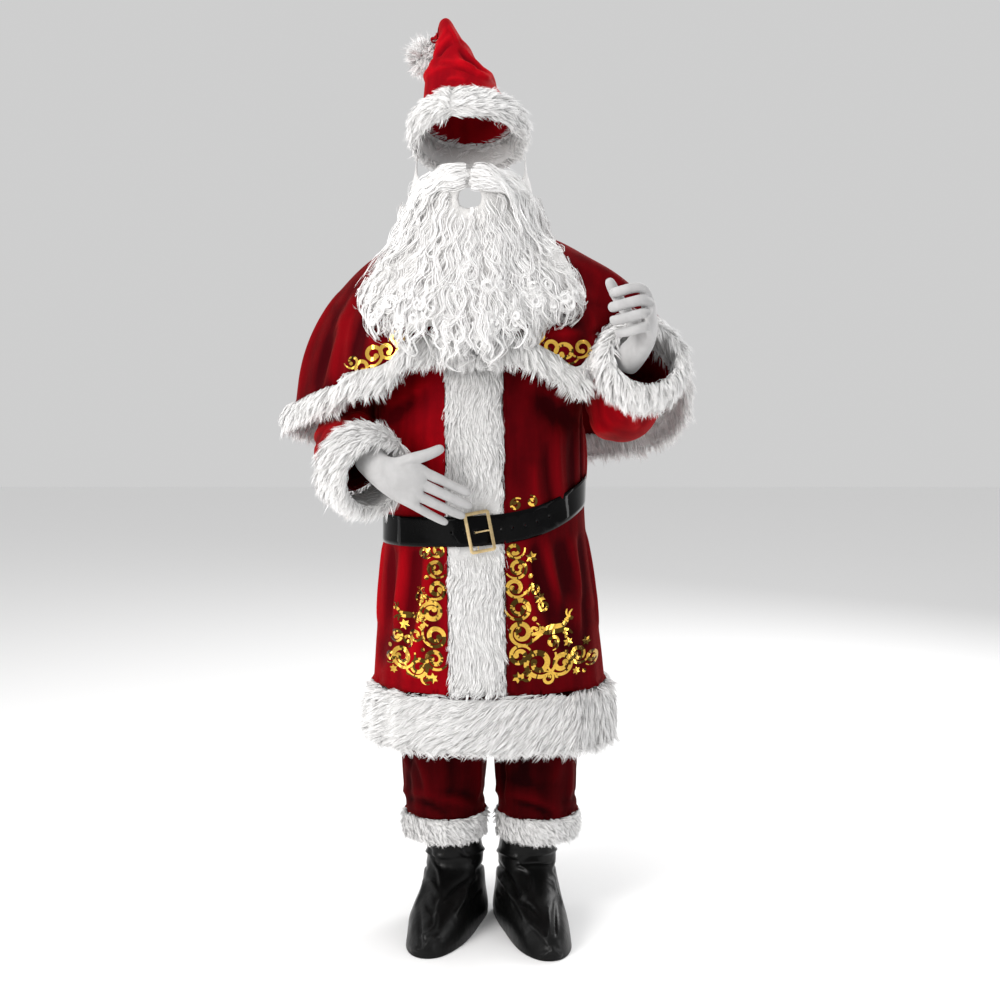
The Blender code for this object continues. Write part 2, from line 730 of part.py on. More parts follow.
# The trousers: two legs, each open above the crotch where it is sewn to the other.
LEG_CENTRE, LEG_APART = 0.0265, 0.0935
LEG_RADIUS = table("height radius", (0.10, 0.083), (0.22, 0.083), (0.33, 0.087), (0.75, 0.088))
LEG_HEIGHTS = (0.220, 0.275, 0.330, 0.400, 0.480, 0.560, 0.640, 0.700)
CROTCH_HEIGHT = 0.730
SEAT_HEIGHTS = (0.760, 0.790, 0.820, 0.880, 0.945)
BELTED_ROW = 0.820  # here the belt presses the coat on the trousers
WAIST_PIECES = (
    "coat_front_left", "coat_front_right", "coat_back_left", "coat_back_right", "back_seam",
    "coat_placket_fur",
)
SEAT_GAP = table("height gap", (0.70, 0.024), (0.76, 0.012), (0.82, 0.0052), (0.88, 0.016), (0.95, 0.034))
LEG_COLUMNS = 16
# Soft folds down each leg: turn round the leg, breadth, depth, and the height where each is deepest
LEG_FOLDS = table(
    "turn spread depth height",
    (20, 14, 0.006, 0.24),
    (75, 12, 0.005, 0.36),
    (128, 13, 0.006, 0.26),
    (196, 15, 0.005, 0.30),
    (262, 14, 0.006, 0.24),
    (318, 12, 0.005, 0.38),
)


def leg_ring(side, height):
    """Turn 0 faces the other leg and 90 the front."""
    points = []
    for k in range(LEG_COLUMNS + 1):
        turn = 360 * k / LEG_COLUMNS
        away = (turn - LEG_FOLDS["turn"] + 180) % 360 - 180
        near = np.exp(-(((height - LEG_FOLDS["height"]) / 0.10) ** 2))
        folds = LEG_FOLDS["depth"] * np.exp(-((away / LEG_FOLDS["spread"]) ** 2)) * near
        radius = read(LEG_RADIUS, "radius", height) - float(folds.sum())
        s, c = math.sin(math.radians(turn)), math.cos(math.radians(turn))
        points.append(np.array((LEG_CENTRE + side * (LEG_APART - radius * c), 0.004 - radius * s, height)))
    return points


def seat_ring(side, height):
    """Half the way round the body, from the centre front to the centre back."""
    gap = read(SEAT_GAP, "gap", height)
    points = []
    for k in range(LEG_COLUMNS + 1):
        angle = side * 180 * k / LEG_COLUMNS
        s, c = math.sin(math.radians(angle)), math.cos(math.radians(angle))
        half = read(TORSO, "half_width", height) - gap
        depth = read(TORSO, "front" if c > 0 else "back", height) - gap
        centre = read(TORSO, "centre_x", height)
        s, c = signed_power(s, FULLNESS), signed_power(c, FULLNESS)
        point = np.array((centre + half * s, -depth * c, height))
        if height == BELTED_ROW:
            way = unit(point - (centre, 0, height))
            hit = first_hit(skin_tree(*WAIST_PIECES), (centre, 0.004, height), way)
            point = hit - way * (CLOTH * 1.5 + SEAM)
        if k in (0, LEG_COLUMNS):
            point[0] = centre
        point[0] += side * SEAM * 0.6
        points.append(point)
    return points


def make_trousers():
    for side, word in ((1, "left"), (-1, "right")):
        legs = [leg_ring(side, height) for height in LEG_HEIGHTS]
        low, high = leg_ring(side, CROTCH_HEIGHT), seat_ring(side, CROTCH_HEIGHT + 0.02)
        crotch = []
        for k, (a, b) in enumerate(zip(low, high)):
            apart = ease(min(k, LEG_COLUMNS - k) / 4) * 0.35
            crotch.append(mix(a, b, apart))
        rows = legs + [crotch] + [seat_ring(side, height) for height in SEAT_HEIGHTS]
        closed = range(len(legs) + 1)
        cloth_wall(f"trouser_{word}", rows, "velvet", closed_rows=closed, flip=side < 0)
        way = np.array((0.0, 0.0, -1.0))
        centre = np.array((LEG_CENTRE + side * LEG_APART, 0.004, LEG_HEIGHTS[0]))
        sections = []
        for point in legs[0][:-1]:
            out = unit(point - centre)
            sections.append(fur_loop(point + way * SEAM, way, out, 0.050, 0.0085))
        padded_band(f"trouser_fur_{word}", sections, "white_fur", ring=True)


# The boot covers, from the floor to the top hidden in the trouser leg. The foot's outline at each height.
BOOTS = {
    "right": {"heel": (-0.036, 0.072), "toe": (-0.104, -0.240), "shaft": (-0.0490, 0.004)},
    "left": {"heel": (0.082, 0.072), "toe": (0.140, -0.255), "shaft": (0.0980, 0.004)},
}
BOOT = table(
    "height ahead behind half_width corner crumple",
    (0.000, 1.00, 1.00, 0.069, 0.50, 0.000),
    (0.018, 0.99, 0.98, 0.070, 0.54, 0.002),
    (0.045, 0.90, 0.92, 0.067, 0.68, 0.004),
    (0.072, 0.66, 0.86, 0.062, 0.85, 0.005),
    (0.098, 0.34, 0.82, 0.059, 0.95, 0.006),
    (0.124, 0.14, 0.80, 0.058, 1.00, 0.006),
    (0.150, 0.05, 0.80, 0.057, 1.00, 0.004),
    (0.185, 0.00, 0.80, 0.056, 1.00, 0.003),
    (0.240, 0.00, 0.80, 0.064, 1.00, 0.001),
    (0.300, 0.00, 0.80, 0.078, 1.00, 0.000),
)
BOOT_COLUMNS = LEG_COLUMNS
BOOT_HEIGHTS = (0.0, 0.018, 0.045, 0.070, 0.090, 0.108, 0.126, 0.150, 0.195, 0.240)
BOOT_TOP = 0.275  # one of the trousers' rows: the cover's top fills the leg


def make_boots():
    for word, spots in BOOTS.items():
        heel, toe, shaft = (np.array(spots[key]) for key in ("heel", "toe", "shaft"))
        ahead = unit(toe - heel)
        across = np.array((-ahead[1], ahead[0]))
        side = 1 if word == "left" else -1
        leg = np.array((LEG_CENTRE + side * LEG_APART, 0.004))
        rows = []
        for n, height in enumerate(BOOT_HEIGHTS):
            middle = mix(shaft, leg, ease((height - 0.15) / 0.09))
            half = read(BOOT, "half_width", height)
            front = float((toe - shaft) @ ahead) * read(BOOT, "ahead", height)
            back = float((shaft - heel) @ ahead) * read(BOOT, "behind", height)
            front = max(front, half)
            crumple, corner = read(BOOT, "crumple", height), read(BOOT, "corner", height)
            row = []
            for k in range(BOOT_COLUMNS + 1):
                turn = 2 * math.pi * k / BOOT_COLUMNS
                s, c = math.sin(turn), math.cos(turn)
                reach = front * signed_power(c, corner) if c > 0 else back * signed_power(c, 0.9)
                aside = half * signed_power(s, 0.85)
                narrow = 1 - 0.16 * ease(c) * ease((0.10 - height) / 0.06)
                wave = 1 + crumple / half * math.sin(2.6 * turn + n * 2.2) * math.sin(n * 1.7 + 0.6)
                spot = middle + (ahead * reach + across * aside * narrow) * wave
                row.append(np.array((spot[0], spot[1], height)))
            row[-1] = row[0]
            rows.append(row)
        centre = np.array((*leg, BOOT_TOP))
        top = []
        for k in range(BOOT_COLUMNS + 1):
            n = (LEG_COLUMNS // 4 + side * k) % LEG_COLUMNS
            point = leg_ring(side, BOOT_TOP)[n]
            top.append(point - unit(point - centre) * (CLOTH * 1.02 + SEAM))
        rows.append(top)
        cloth_wall(f"boot_cover_{word}", rows, "boot_leathercloth", closed_rows="all")


# The hat: the fur band sits tipped back on the head, the velvet stands up from it and its tip folds over.
HAT_TIP_BACK = math.radians(27)
HAT_AXIS = np.array((0.0, math.sin(HAT_TIP_BACK), math.cos(HAT_TIP_BACK)))
HAT_COLUMNS = 16
BAND_HEIGHT, BAND_PILE = 0.064, 0.024
HAT = table(
    "place x y height radius lean",
    (0, -0.018, 0.025, 1.6145, 0.0975, 1.0),
    (1, -0.024, 0.026, 1.642, 0.086, 0.75),
    (2, -0.034, 0.026, 1.675, 0.0735, 0.5),
    (3, -0.041, 0.026, 1.705, 0.062, 0.3),
    (4, -0.049, 0.027, 1.738, 0.048, 0.2),
    (5, -0.057, 0.030, 1.773, 0.034, 0.3),
    (6, -0.064, 0.040, 1.797, 0.024, 0.9),
    (7, -0.075, 0.054, 1.801, 0.017, 1.8),
    (8, -0.086, 0.067, 1.776, 0.011, 2.6),
)
HAT_CREASES = table(
    "place turn spread depth",
    (0.9, 150, 40, 0.004),
    (1.6, 60, 55, 0.006),
    (2.5, 200, 50, 0.006),
    (3.0, 20, 40, 0.005),
    (3.8, 110, 50, 0.005),
    (4.6, 300, 60, 0.005),
)
POMPOM_CENTRE, POMPOM_RADIUS = np.array((-0.1026, 0.0960, 1.7448)), 0.036


def hat_ring(place):
    centre = np.array([read(HAT, key, place) for key in ("x", "y", "height")])
    lean = read(HAT, "lean", place) * HAT_TIP_BACK
    toward = mix((0.0, 1.0, 0.0), unit((-0.62, 0.78, 0.0)), ease(place - 4))
    axis = unit(toward) * math.sin(lean) + np.array((0, 0, math.cos(lean)))
    front = unit(np.cross((1.0, 0.0, 0.0), axis))
    across = np.cross(axis, front)
    points = []
    for k in range(HAT_COLUMNS + 1):
        turn = 360 * k / HAT_COLUMNS
        away = (turn - HAT_CREASES["turn"] + 180) % 360 - 180
        near = np.exp(-(((place - HAT_CREASES["place"]) / 0.45) ** 2))
        crease = float((HAT_CREASES["depth"] * np.exp(-((away / HAT_CREASES["spread"]) ** 2)) * near).sum())
        radius = read(HAT, "radius", place) - crease * min(1, place)
        s, c = math.sin(math.radians(turn)), math.cos(math.radians(turn))
        points.append(centre + across * (radius * s) + front * (radius * c))
    return points


def make_hat():
    places = (0, 0.8, 1.5, 2.1, 2.7, 3.4, 4.1, 4.8, 5.5, 6.2, 7, 8)
    grid = [hat_ring(place) for place in places]
    cloth_wall("hat", grid, "velvet", closed_rows="all")
    sections = []
    low = grid[0]
    middle = sum(low[:-1]) / HAT_COLUMNS
    for point in low[:-1]:
        out = unit(point - middle)
        sections.append(fur_loop(point - HAT_AXIS * SEAM, -HAT_AXIS, out, BAND_HEIGHT, BAND_PILE))
    padded_band("hat_band_fur", sections, "white_fur", ring=True)

    rows, around = 9, 14
    vertices = [POMPOM_CENTRE + (0, 0, POMPOM_RADIUS)]
    for r in range(1, rows):
        fall = math.pi * r / rows
        for k in range(around):
            turn, wide = 2 * math.pi * k / around, math.sin(fall)
            lump = POMPOM_RADIUS * (1 + 0.05 * math.sin(3 * turn + 2 * r) * wide)
            spoke = np.array((wide * math.cos(turn), wide * math.sin(turn), math.cos(fall)))
            vertices.append(POMPOM_CENTRE + spoke * lump)
    vertices.append(POMPOM_CENTRE - (0, 0, POMPOM_RADIUS))
    faces = []
    for k in range(around):
        k2 = (k + 1) % around
        faces.append([0, 1 + k, 1 + k2])
        for r in range(rows - 2):
            a, b = 1 + r * around, 1 + (r + 1) * around
            faces.append([a + k, b + k, b + k2, a + k2])
        last = 1 + (rows - 2) * around
        faces.append([last + k, len(vertices) - 1, last + k2])
    outward(add_object("hat_pompom", [tuple(v) for v in vertices], faces, "white_fur"))


make_trousers()
make_boots()
make_hat()


# The belt: one strap round the waist. Its free end passes through the buckle and lies over the other end.
BELT_STEPS = 38
LAYER = CLOTH + SEAM * 2
BUCKLE_X, BUCKLE_HEIGHT = 0.0055, 0.810
BUCKLE_TURN = math.radians(11)
FRAME_WIDTH, FRAME_TALL, FRAME_BAR, FRAME_THICK, FRAME_CORNER = 0.050, 0.080, 0.0062, 0.003, 0.004
BAR_X, BAR_WIDTH, BAR_THICK = -0.003, 0.0024, 0.0016  # the frame's middle bar
BAR_STAND = 0.0030  # how far it stands off the fur
PRONG_WIDTH, PRONG_THICK = 0.003, 0.0009
OVERLAP = (0.026, 0.012, 0.0, -0.014, -0.032, -0.056, -0.080, -0.104, -0.128, -0.150)
HOLES = (-0.049, -0.026, 0.046, 0.069, 0.092, 0.115, 0.138)


def belt_height(x):
    return 0.811 + 0.05 * x + 5.9 * max(x, 0.0) ** 3


def front_angle(x):
    share = (x - read(TORSO, "centre_x", 0.82)) / read(TORSO, "half_width", 0.82)
    return math.degrees(math.asin(signed_power(share, 1 / FULLNESS)))


def belt_rows(angles, tree):
    """The strap drawn tight round the waist: its outer points down its breadth at each angle."""
    grid = []
    for down in (0.5, 0.0, -0.5):
        row = []
        for angle in angles:
            height = belt_height(torso_point(angle, 0.82)[0]) + down * BELT_HEIGHT
            start = torso_point(angle, height, 0.1)
            inward = unit(np.array((read(TORSO, "centre_x", height), 0, height)) - start)
            row.append(first_hit(tree, start, inward) - inward * LAYER)
        grid.append(row)
    return lay_over(grid, tree, LAYER)


def bar_depth():
    """How far forward the buckle's middle bar lies."""
    tree = skin_tree(*WAIST_PIECES)
    felt = [
        first_hit(tree, (BAR_X + x, -1, BUCKLE_HEIGHT + z), (0, 1, 0))[1]
        for x in (-0.008, 0.0, 0.008) for z in (-0.036, -0.02, 0.0, 0.02, 0.036)
    ]
    return min(felt) - BAR_STAND


def limb_ring(centres, k, broad, thick, across, sides):
    """One ring of a path: half its breadth, lying the way across, and half its thickness."""
    way = unit(centres[min(k + 1, len(centres) - 1)] - centres[max(k - 1, 0)])
    wide = unit(np.asarray(across, float) - way * (np.asarray(across, float) @ way))
    thin = np.cross(way, wide)
    turns = [2 * math.pi * (n + 0.5) / sides for n in range(sides)]
    return [centres[k] + wide * (broad * math.cos(turn)) + thin * (thick * math.sin(turn)) for turn in turns]


def limb(name, centres, broad, thick, across, sides, finish, cutter=False, longer=0.0):
    """A closed tube through rings along a path. longer pushes its first ring out past the start."""
    centres = [np.asarray(p, float) for p in centres]
    centres[0] = centres[0] - unit(centres[1] - centres[0]) * longer
    sections = [limb_ring(centres, k, broad[k], thick[k], across, sides) for k in range(len(centres))]
    made = padded_band(name, sections, finish, ring=False)
    if cutter:
        suit.objects.unlink(made)
        cutters.objects.link(made)
        made.hide_render = True
        made.display_type = "WIRE"
    return made


def bar(name, path, width, thickness, across, finish, cutter=False, sides=4):
    """A bar of one width and thickness along a path."""
    grow = 0.5 / math.cos(math.pi / sides)
    broad, thick = [width * grow] * len(path), [thickness * grow] * len(path)
    return limb(name, path, broad, thick, across, sides, finish, cutter)


def combine(target, other, operation):
    change = target.modifiers.new(other.name, "BOOLEAN")
    change.operation = operation
    change.solver = "EXACT"
    change.object = other


def make_belt(bar_y):
    turns = np.linspace(front_angle(BAR_X - 0.007), front_angle(0.043) - 360, BELT_STEPS)
    once = belt_rows(turns, skin_tree(*WAIST_PIECES))
    rows, columns = once.shape[:2]
    firsts = [r * columns + c for r in range(rows - 1) for c in range(columns - 1)]
    loops = [[k, k + 1, k + columns + 1, k + columns] for k in firsts]
    SKINS["belt_first_turn"] = ([tuple(p) for p in once.reshape(-1, 3)], loops)
    twice = belt_rows([front_angle(x) for x in OVERLAP], skin_tree("belt_first_turn", *WAIST_PIECES))
    for r in range(rows):
        for c in range(len(OVERLAP)):
            if -0.035 < twice[r, c, 0] < 0.014:
                twice[r, c, 1] = min(twice[r, c, 1], bar_y - BAR_THICK / 2 - SEAM - CLOTH)
    strap = np.concatenate((once, twice), axis=1)
    belt = cloth_wall("belt", strap, "patent_belt")
    tree = skin_tree("belt")
    for k, away in enumerate(HOLES):
        spot, normal = tree.ray_cast(Vector((away, -1, belt_height(away))), Vector((0, 1, 0)))[:2]
        if normal.y > 0:
            normal = -normal
        path = (spot + normal * 0.001, spot - normal * (CLOTH + 0.0003))
        hole = bar(f"punched_hole_{k + 1}", path, 0.0032, 0.0032, (0, 0, 1), "patent_belt", True, 6)
        combine(belt, hole, "DIFFERENCE")
    return strap


def make_buckle(strap, bar_y):
    """The frame lies in front of the strap, its middle bar behind it, and the prong goes through the hole."""
    s, c = math.sin(BUCKLE_TURN), math.cos(BUCKLE_TURN)
    face = min(p[1] for row in strap for p in row if abs(p[0] - BUCKLE_X) < 0.036 and p[1] < 0)
    back, front = face - SEAM, face - SEAM - FRAME_THICK

    def place(right, up, y):
        return np.array((BUCKLE_X + right * c - up * s, y, BUCKLE_HEIGHT + up * c + right * s))

    w, h, r = FRAME_WIDTH / 2, FRAME_TALL / 2, FRAME_CORNER
    right = [(w - r, h), (w, h - r), (w, r - h), (w - r, -h)]
    outer = right + [(-x, -y) for x, y in right]
    x, y = w - FRAME_BAR, h - FRAME_BAR
    inner = [(x, y), (x, -y), (-x, -y), (-x, y)]
    vertices = [tuple(place(a, b, y)) for y in (front, back) for a, b in outer + inner]
    faces = []
    for layer, turn in ((0, 1), (12, -1)):
        for k in range(4):
            a, b, a2 = layer + 2 * k, layer + 2 * k + 1, layer + (2 * k + 2) % 8
            m, n = layer + 8 + k, layer + 8 + (k + 1) % 4
            faces += [[a, b, m][::turn], [b, a2, n, m][::turn]]
    faces += [[k, (k + 1) % 8, 12 + (k + 1) % 8, 12 + k] for k in range(8)]
    faces += [[8 + (k + 1) % 4, 8 + k, 20 + k, 20 + (k + 1) % 4] for k in range(4)]
    frame = add_object("buckle_frame", vertices, faces, "buckle_metal")
    outward(frame)
    at, lift = BAR_X - BUCKLE_X, back - 0.0010
    path = [
        place(at, h - 0.0016, lift), place(at, h - 0.0046, lift), place(at, h - 0.0058, bar_y),
        place(at, 0.0058 - h, bar_y), place(at, 0.0046 - h, lift), place(at, 0.0016 - h, lift),
    ]
    middle = bar("buckle_middle_bar", path, BAR_WIDTH, BAR_THICK, (c, 0, s), "buckle_metal", True)
    combine(frame, middle, "UNION")
    strap_face = bar_y - BAR_THICK / 2 - SEAM - CLOTH
    over, tip = strap_face - SEAM - PRONG_THICK, front - PRONG_THICK / 2 - 0.0004
    hook = (
        (0.0022, bar_y + 0.0003), (0.0018, bar_y + 0.0016), (0.0, bar_y + 0.0020), (-0.0020, bar_y + 0.0015),
        (-0.0025, bar_y), (-0.0019, bar_y - 0.0016), (0.0012, over), (x - at - 0.004, over),
        (x - at - 0.001, tip), (w - at - 0.002, tip),
    )
    path = [place(at + along, 0, y) for along, y in hook]
    bar("buckle_prong", path, PRONG_THICK, PRONG_WIDTH, (0, 1, 0), "buckle_metal")
    path = (place(at, 0, strap_face - 0.002), place(at, 0, strap_face + CLOTH + 0.0004))
    slot = bar("prong_hole", path, 0.0084, 0.0050, (c, 0, s), "patent_belt", True)
    combine(bpy.data.objects["belt"], slot, "DIFFERENCE")


buckle_depth = bar_depth()
make_buckle(make_belt(buckle_depth), buckle_depth)


# The gloves: a palm and five fingers joined, then hollowed. The right one lies on the belly.
# Each palm row: middle of the hand, half its breadth, half its thickness. Each finger: knuckle to tip.
GLOVES = {
    "right": {
        "breadth": (0.16, 0.02, 0.98),
        "lean": (0.17, -0.20, 0.96),
        "palm": table(
            "x y height broad thick",
            (-0.204, -0.222, 0.938, 0.035, 0.029),
            (-0.184, -0.250, 0.926, 0.031, 0.025),
            (-0.150, -0.262, 0.918, 0.040, 0.021),
            (-0.112, -0.254, 0.905, 0.044, 0.017),
            (-0.100, -0.249, 0.901, 0.040, 0.012),
        ),
        "fingers": {
            "index": (
                (-0.116, -0.254, 0.938), (-0.070, -0.245, 0.917), (-0.035, -0.232, 0.898),
                (-0.012, -0.224, 0.887),
            ),
            "middle": (
                (-0.116, -0.254, 0.915), (-0.068, -0.247, 0.892), (-0.034, -0.233, 0.874),
                (-0.010, -0.224, 0.863),
            ),
            "ring": (
                (-0.120, -0.253, 0.893), (-0.074, -0.246, 0.869), (-0.043, -0.232, 0.853),
                (-0.023, -0.224, 0.844),
            ),
            "little": (
                (-0.124, -0.252, 0.873), (-0.090, -0.245, 0.852), (-0.069, -0.235, 0.840),
                (-0.055, -0.229, 0.832),
            ),
            "thumb": (
                (-0.158, -0.262, 0.938), (-0.120, -0.256, 0.955), (-0.088, -0.246, 0.962),
                (-0.062, -0.236, 0.974),
            ),
        },
        "radii": {"index": 0.0105, "middle": 0.0108, "ring": 0.0102, "little": 0.0090, "thumb": 0.0125},
    },
    "left": {
        "breadth": (0.02, 0.50, 0.86),
        "lean": (-0.99, -0.07, 0.04),
        "palm": table(
            "x y height broad thick",
            (0.303, -0.236, 1.134, 0.032, 0.030),
            (0.310, -0.270, 1.158, 0.030, 0.025),
            (0.313, -0.300, 1.192, 0.040, 0.019),
            (0.311, -0.322, 1.224, 0.047, 0.016),
            (0.309, -0.329, 1.235, 0.042, 0.012),
        ),
        "fingers": {
            "index": (
                (0.3105, -0.309, 1.252), (0.296, -0.332, 1.272), (0.262, -0.341, 1.262),
                (0.243, -0.322, 1.257), (0.258, -0.300, 1.256),
            ),
            "middle": (
                (0.312, -0.316, 1.238), (0.296, -0.346, 1.247), (0.259, -0.354, 1.236),
                (0.240, -0.334, 1.232), (0.256, -0.311, 1.233),
            ),
            "ring": (
                (0.312, -0.326, 1.216), (0.297, -0.355, 1.222), (0.261, -0.361, 1.211),
                (0.243, -0.341, 1.208), (0.258, -0.318, 1.210),
            ),
            "little": (
                (0.312, -0.332, 1.194), (0.300, -0.357, 1.198), (0.268, -0.360, 1.188),
                (0.252, -0.341, 1.186), (0.266, -0.320, 1.190),
            ),
            "thumb": (
                (0.304, -0.281, 1.180), (0.277, -0.277, 1.219), (0.254, -0.284, 1.256),
                (0.240, -0.290, 1.284),
            ),
        },
        "radii": {"index": 0.0112, "middle": 0.0115, "ring": 0.0110, "little": 0.0100, "thumb": 0.0125},
    },
}
GLOVE_WALL = 0.0014


def rest_in_cuff(centres, palm, across, lean, cuff):
    """Moves the glove's wrist until it just rests on the inside of the fur cuff."""
    tree = skin_tree(cuff)
    for step in range(120):
        shift = np.array(lean) * step * 0.0004
        moved = [c + shift * share for c, share in zip(centres, (1.0, 0.5, 0, 0, 0))]
        ring = limb_ring(moved, 0, palm["broad"][0], palm["thick"][0], across, 10)
        if min(tree.find_nearest(Vector(p))[3] for p in ring) < 0.0011:
            return moved
    return moved


def finger_rings(points, radius, shrink):
    """Centres and radii along a finger, with a rounded tip, drawn in by shrink."""
    points = [np.asarray(p, float) for p in points]
    way = unit(points[-1] - points[-2])
    tip = [points[-1] + way * step for step in (-radius * 0.75, -radius * 0.2, radius * 0.1 - shrink)]
    centres = points[:-1] + tip
    sizes = [radius * 1.08] * 2 + [radius] * (len(points) - 3) + [radius * 0.95, radius * 0.75, radius * 0.4]
    return centres, [max(size - shrink, 0.0015) for size in sizes]


def make_gloves():
    for word, glove in GLOVES.items():
        palm = glove["palm"]
        centres = [np.array(p) for p in zip(palm["x"], palm["y"], palm["height"])]
        finish, across = "glove_cotton", glove["breadth"]
        centres = rest_in_cuff(centres, palm, across, glove["lean"], f"cuff_fur_{word}")
        made = limb(f"glove_{word}", centres, palm["broad"], palm["thick"], across, 10, finish)
        for finger, points in glove["fingers"].items():
            rings, sizes = finger_rings(points, glove["radii"][finger], 0.0)
            whole = limb(f"{word}_{finger}", rings, sizes, sizes, across, 6, finish, True)
            combine(made, whole, "UNION")
        inner = centres[:-1] + [mix(centres[-2], centres[-1], 0.8)]
        slim, flat = palm["broad"] - GLOVE_WALL, palm["thick"] - GLOVE_WALL
        hollow = limb(f"{word}_palm_hollow", inner, slim, flat, across, 10, finish, True, 0.006)
        for finger, points in glove["fingers"].items():
            rings, sizes = finger_rings(points, glove["radii"][finger], GLOVE_WALL)
            cutter = limb(f"{word}_{finger}_hollow", rings, sizes, sizes, across, 6, finish, True)
            combine(hollow, cutter, "UNION")
        combine(made, hollow, "DIFFERENCE")


# The false beard: a thick shell of locks from ear to ear, with an opening for the mouth.
BEARD = table(
    "height half_width front centre_x arc",
    (1.100, 0.244, 0.262, -0.020, 50),
    (1.160, 0.248, 0.258, -0.024, 50),
    (1.210, 0.250, 0.248, -0.026, 52),
    (1.268, 0.238, 0.224, -0.024, 55),
    (1.330, 0.188, 0.196, -0.016, 62),
    (1.387, 0.150, 0.172, -0.013, 76),
    (1.440, 0.132, 0.154, -0.013, 90),
    (1.500, 0.117, 0.142, -0.013, 98),
    (1.560, 0.106, 0.120, -0.013, 100),
)
# The beard's upper and lower edges at each share of the way from its middle to its ends
BEARD_EDGES = table(
    "share top bottom thick",
    (0.00, 1.503, 1.170, 0.030),
    (0.15, 1.500, 1.176, 0.032),
    (0.30, 1.490, 1.188, 0.032),
    (0.45, 1.480, 1.186, 0.030),
    (0.60, 1.484, 1.206, 0.028),
    (0.75, 1.500, 1.214, 0.026),
    (0.88, 1.516, 1.240, 0.022),
    (1.00, 1.524, 1.262, 0.016),
)
BEARD_COLUMNS = 24
BEARD_SHARES = (0.0, 0.07, 0.142, 0.222, 0.34, 0.47, 0.60, 0.73, 0.86, 1.0)
MOUTH_CELLS = ((2, 11), (2, 12))


def beard_point(share, down, out):
    """share -1 is the right end and 1 the left; down runs from the top edge to the tips."""
    edge = abs(share)
    top, bottom = read(BEARD_EDGES, "top", edge), read(BEARD_EDGES, "bottom", edge)
    bottom += 0.012 * math.sin(share * 19.0) * down
    height = top + (bottom - top) * down
    angle = math.radians(share * read(BEARD, "arc", height))
    half, front = read(BEARD, "half_width", height) + out, read(BEARD, "front", height) + out
    x = read(BEARD, "centre_x", height) + half * signed_power(math.sin(angle), 0.95)
    return np.array((x, -front * signed_power(math.cos(angle), 0.95), height))


def make_beard():
    under = skin_tree(
        "cape", "cape_fur", "coat_front_left", "coat_front_right", "coat_placket_fur", "hat_band_fur",
    )
    shares = np.linspace(-1, 1, BEARD_COLUMNS + 1)
    thick = [read(BEARD_EDGES, "thick", abs(a)) for a in shares]
    back = np.array([
        [beard_point(a, d, -t * (0.65 + 0.5 * ease(d * 1.6))) for a, t in zip(shares, thick)]
        for d in BEARD_SHARES
    ])
    for point in back.reshape(-1, 3):
        out = unit((point[0], point[1], 0.0))
        hit = under.ray_cast(Vector(point + out * 0.3), Vector(-out), 0.3)[0]
        if hit:
            point[:] = np.array(hit) + out * 0.0024
    back = lay_over(back, under, 0.0032, rounds=24)
    front = []
    for r, d in enumerate(BEARD_SHARES):
        row = []
        for c, a in enumerate(shares):
            curl = 0.004 * math.sin(a * 30 + r * 1.9) * ease(d * 2.2) + 0.003 * math.sin(a * 21 - r * 2.4)
            if r <= 2:
                curl += 0.007 * math.exp(-(((d - 0.09) / 0.06) ** 2)) * ease(1.3 - abs(a) * 2)
            point = beard_point(a, d, curl)
            out = unit(back[r, c] * (1, 1, 0))
            short = thick[c] * 0.45 - (point - back[r, c]) @ out
            row.append(point + out * max(short, 0.0))
        front.append(row)
    band = skin_tree("hat_band_fur")
    for c, a in enumerate(shares):
        if abs(a) > 0.85:
            ends = [grid[0][c] for grid in (front, back)]
            hits = [band.ray_cast(Vector(end), Vector((0, 0, 1)), 0.06)[0] for end in ends]
            tops = [hit.z - 0.0022 for hit in hits if hit] or [ends[0][2]]
            for end in ends:
                end[2] = min(tops)
    slab("beard", front, back, "beard_hair", holes=MOUTH_CELLS)


make_gloves()
make_beard()
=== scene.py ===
"""The looks of a Santa suit as worn, with nobody in it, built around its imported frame.

Sizes are metres. +Z is up, the wearer faces -Y and the wearer's left is +X. Heights named here are above
the floor, which lies at FLOOR in the frame, because the frame's origin is at the neck.
"""

import math

import bmesh
import bpy
import numpy as np
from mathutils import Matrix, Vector
from mathutils.bvhtree import BVHTree
from mathutils.kdtree import KDTree


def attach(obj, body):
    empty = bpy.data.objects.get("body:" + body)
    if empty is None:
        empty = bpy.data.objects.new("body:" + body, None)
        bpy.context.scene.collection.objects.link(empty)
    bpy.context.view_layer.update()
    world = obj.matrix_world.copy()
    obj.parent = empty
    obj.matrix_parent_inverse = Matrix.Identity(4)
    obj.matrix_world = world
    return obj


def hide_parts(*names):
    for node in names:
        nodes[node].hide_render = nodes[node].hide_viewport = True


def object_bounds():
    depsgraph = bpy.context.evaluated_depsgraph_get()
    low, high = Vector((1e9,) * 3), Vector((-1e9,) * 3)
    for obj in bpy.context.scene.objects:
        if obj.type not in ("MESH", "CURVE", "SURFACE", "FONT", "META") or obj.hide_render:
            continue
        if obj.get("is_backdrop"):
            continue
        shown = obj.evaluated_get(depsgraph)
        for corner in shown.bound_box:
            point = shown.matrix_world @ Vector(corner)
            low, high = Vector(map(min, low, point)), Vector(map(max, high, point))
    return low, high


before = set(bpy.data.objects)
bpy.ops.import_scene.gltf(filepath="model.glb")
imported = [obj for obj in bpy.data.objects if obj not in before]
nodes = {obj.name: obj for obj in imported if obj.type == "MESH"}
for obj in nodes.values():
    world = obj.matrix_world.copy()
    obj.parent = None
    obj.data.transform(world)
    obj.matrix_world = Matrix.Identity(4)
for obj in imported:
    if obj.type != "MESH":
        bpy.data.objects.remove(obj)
cad_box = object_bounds()
FLOOR = -1.400


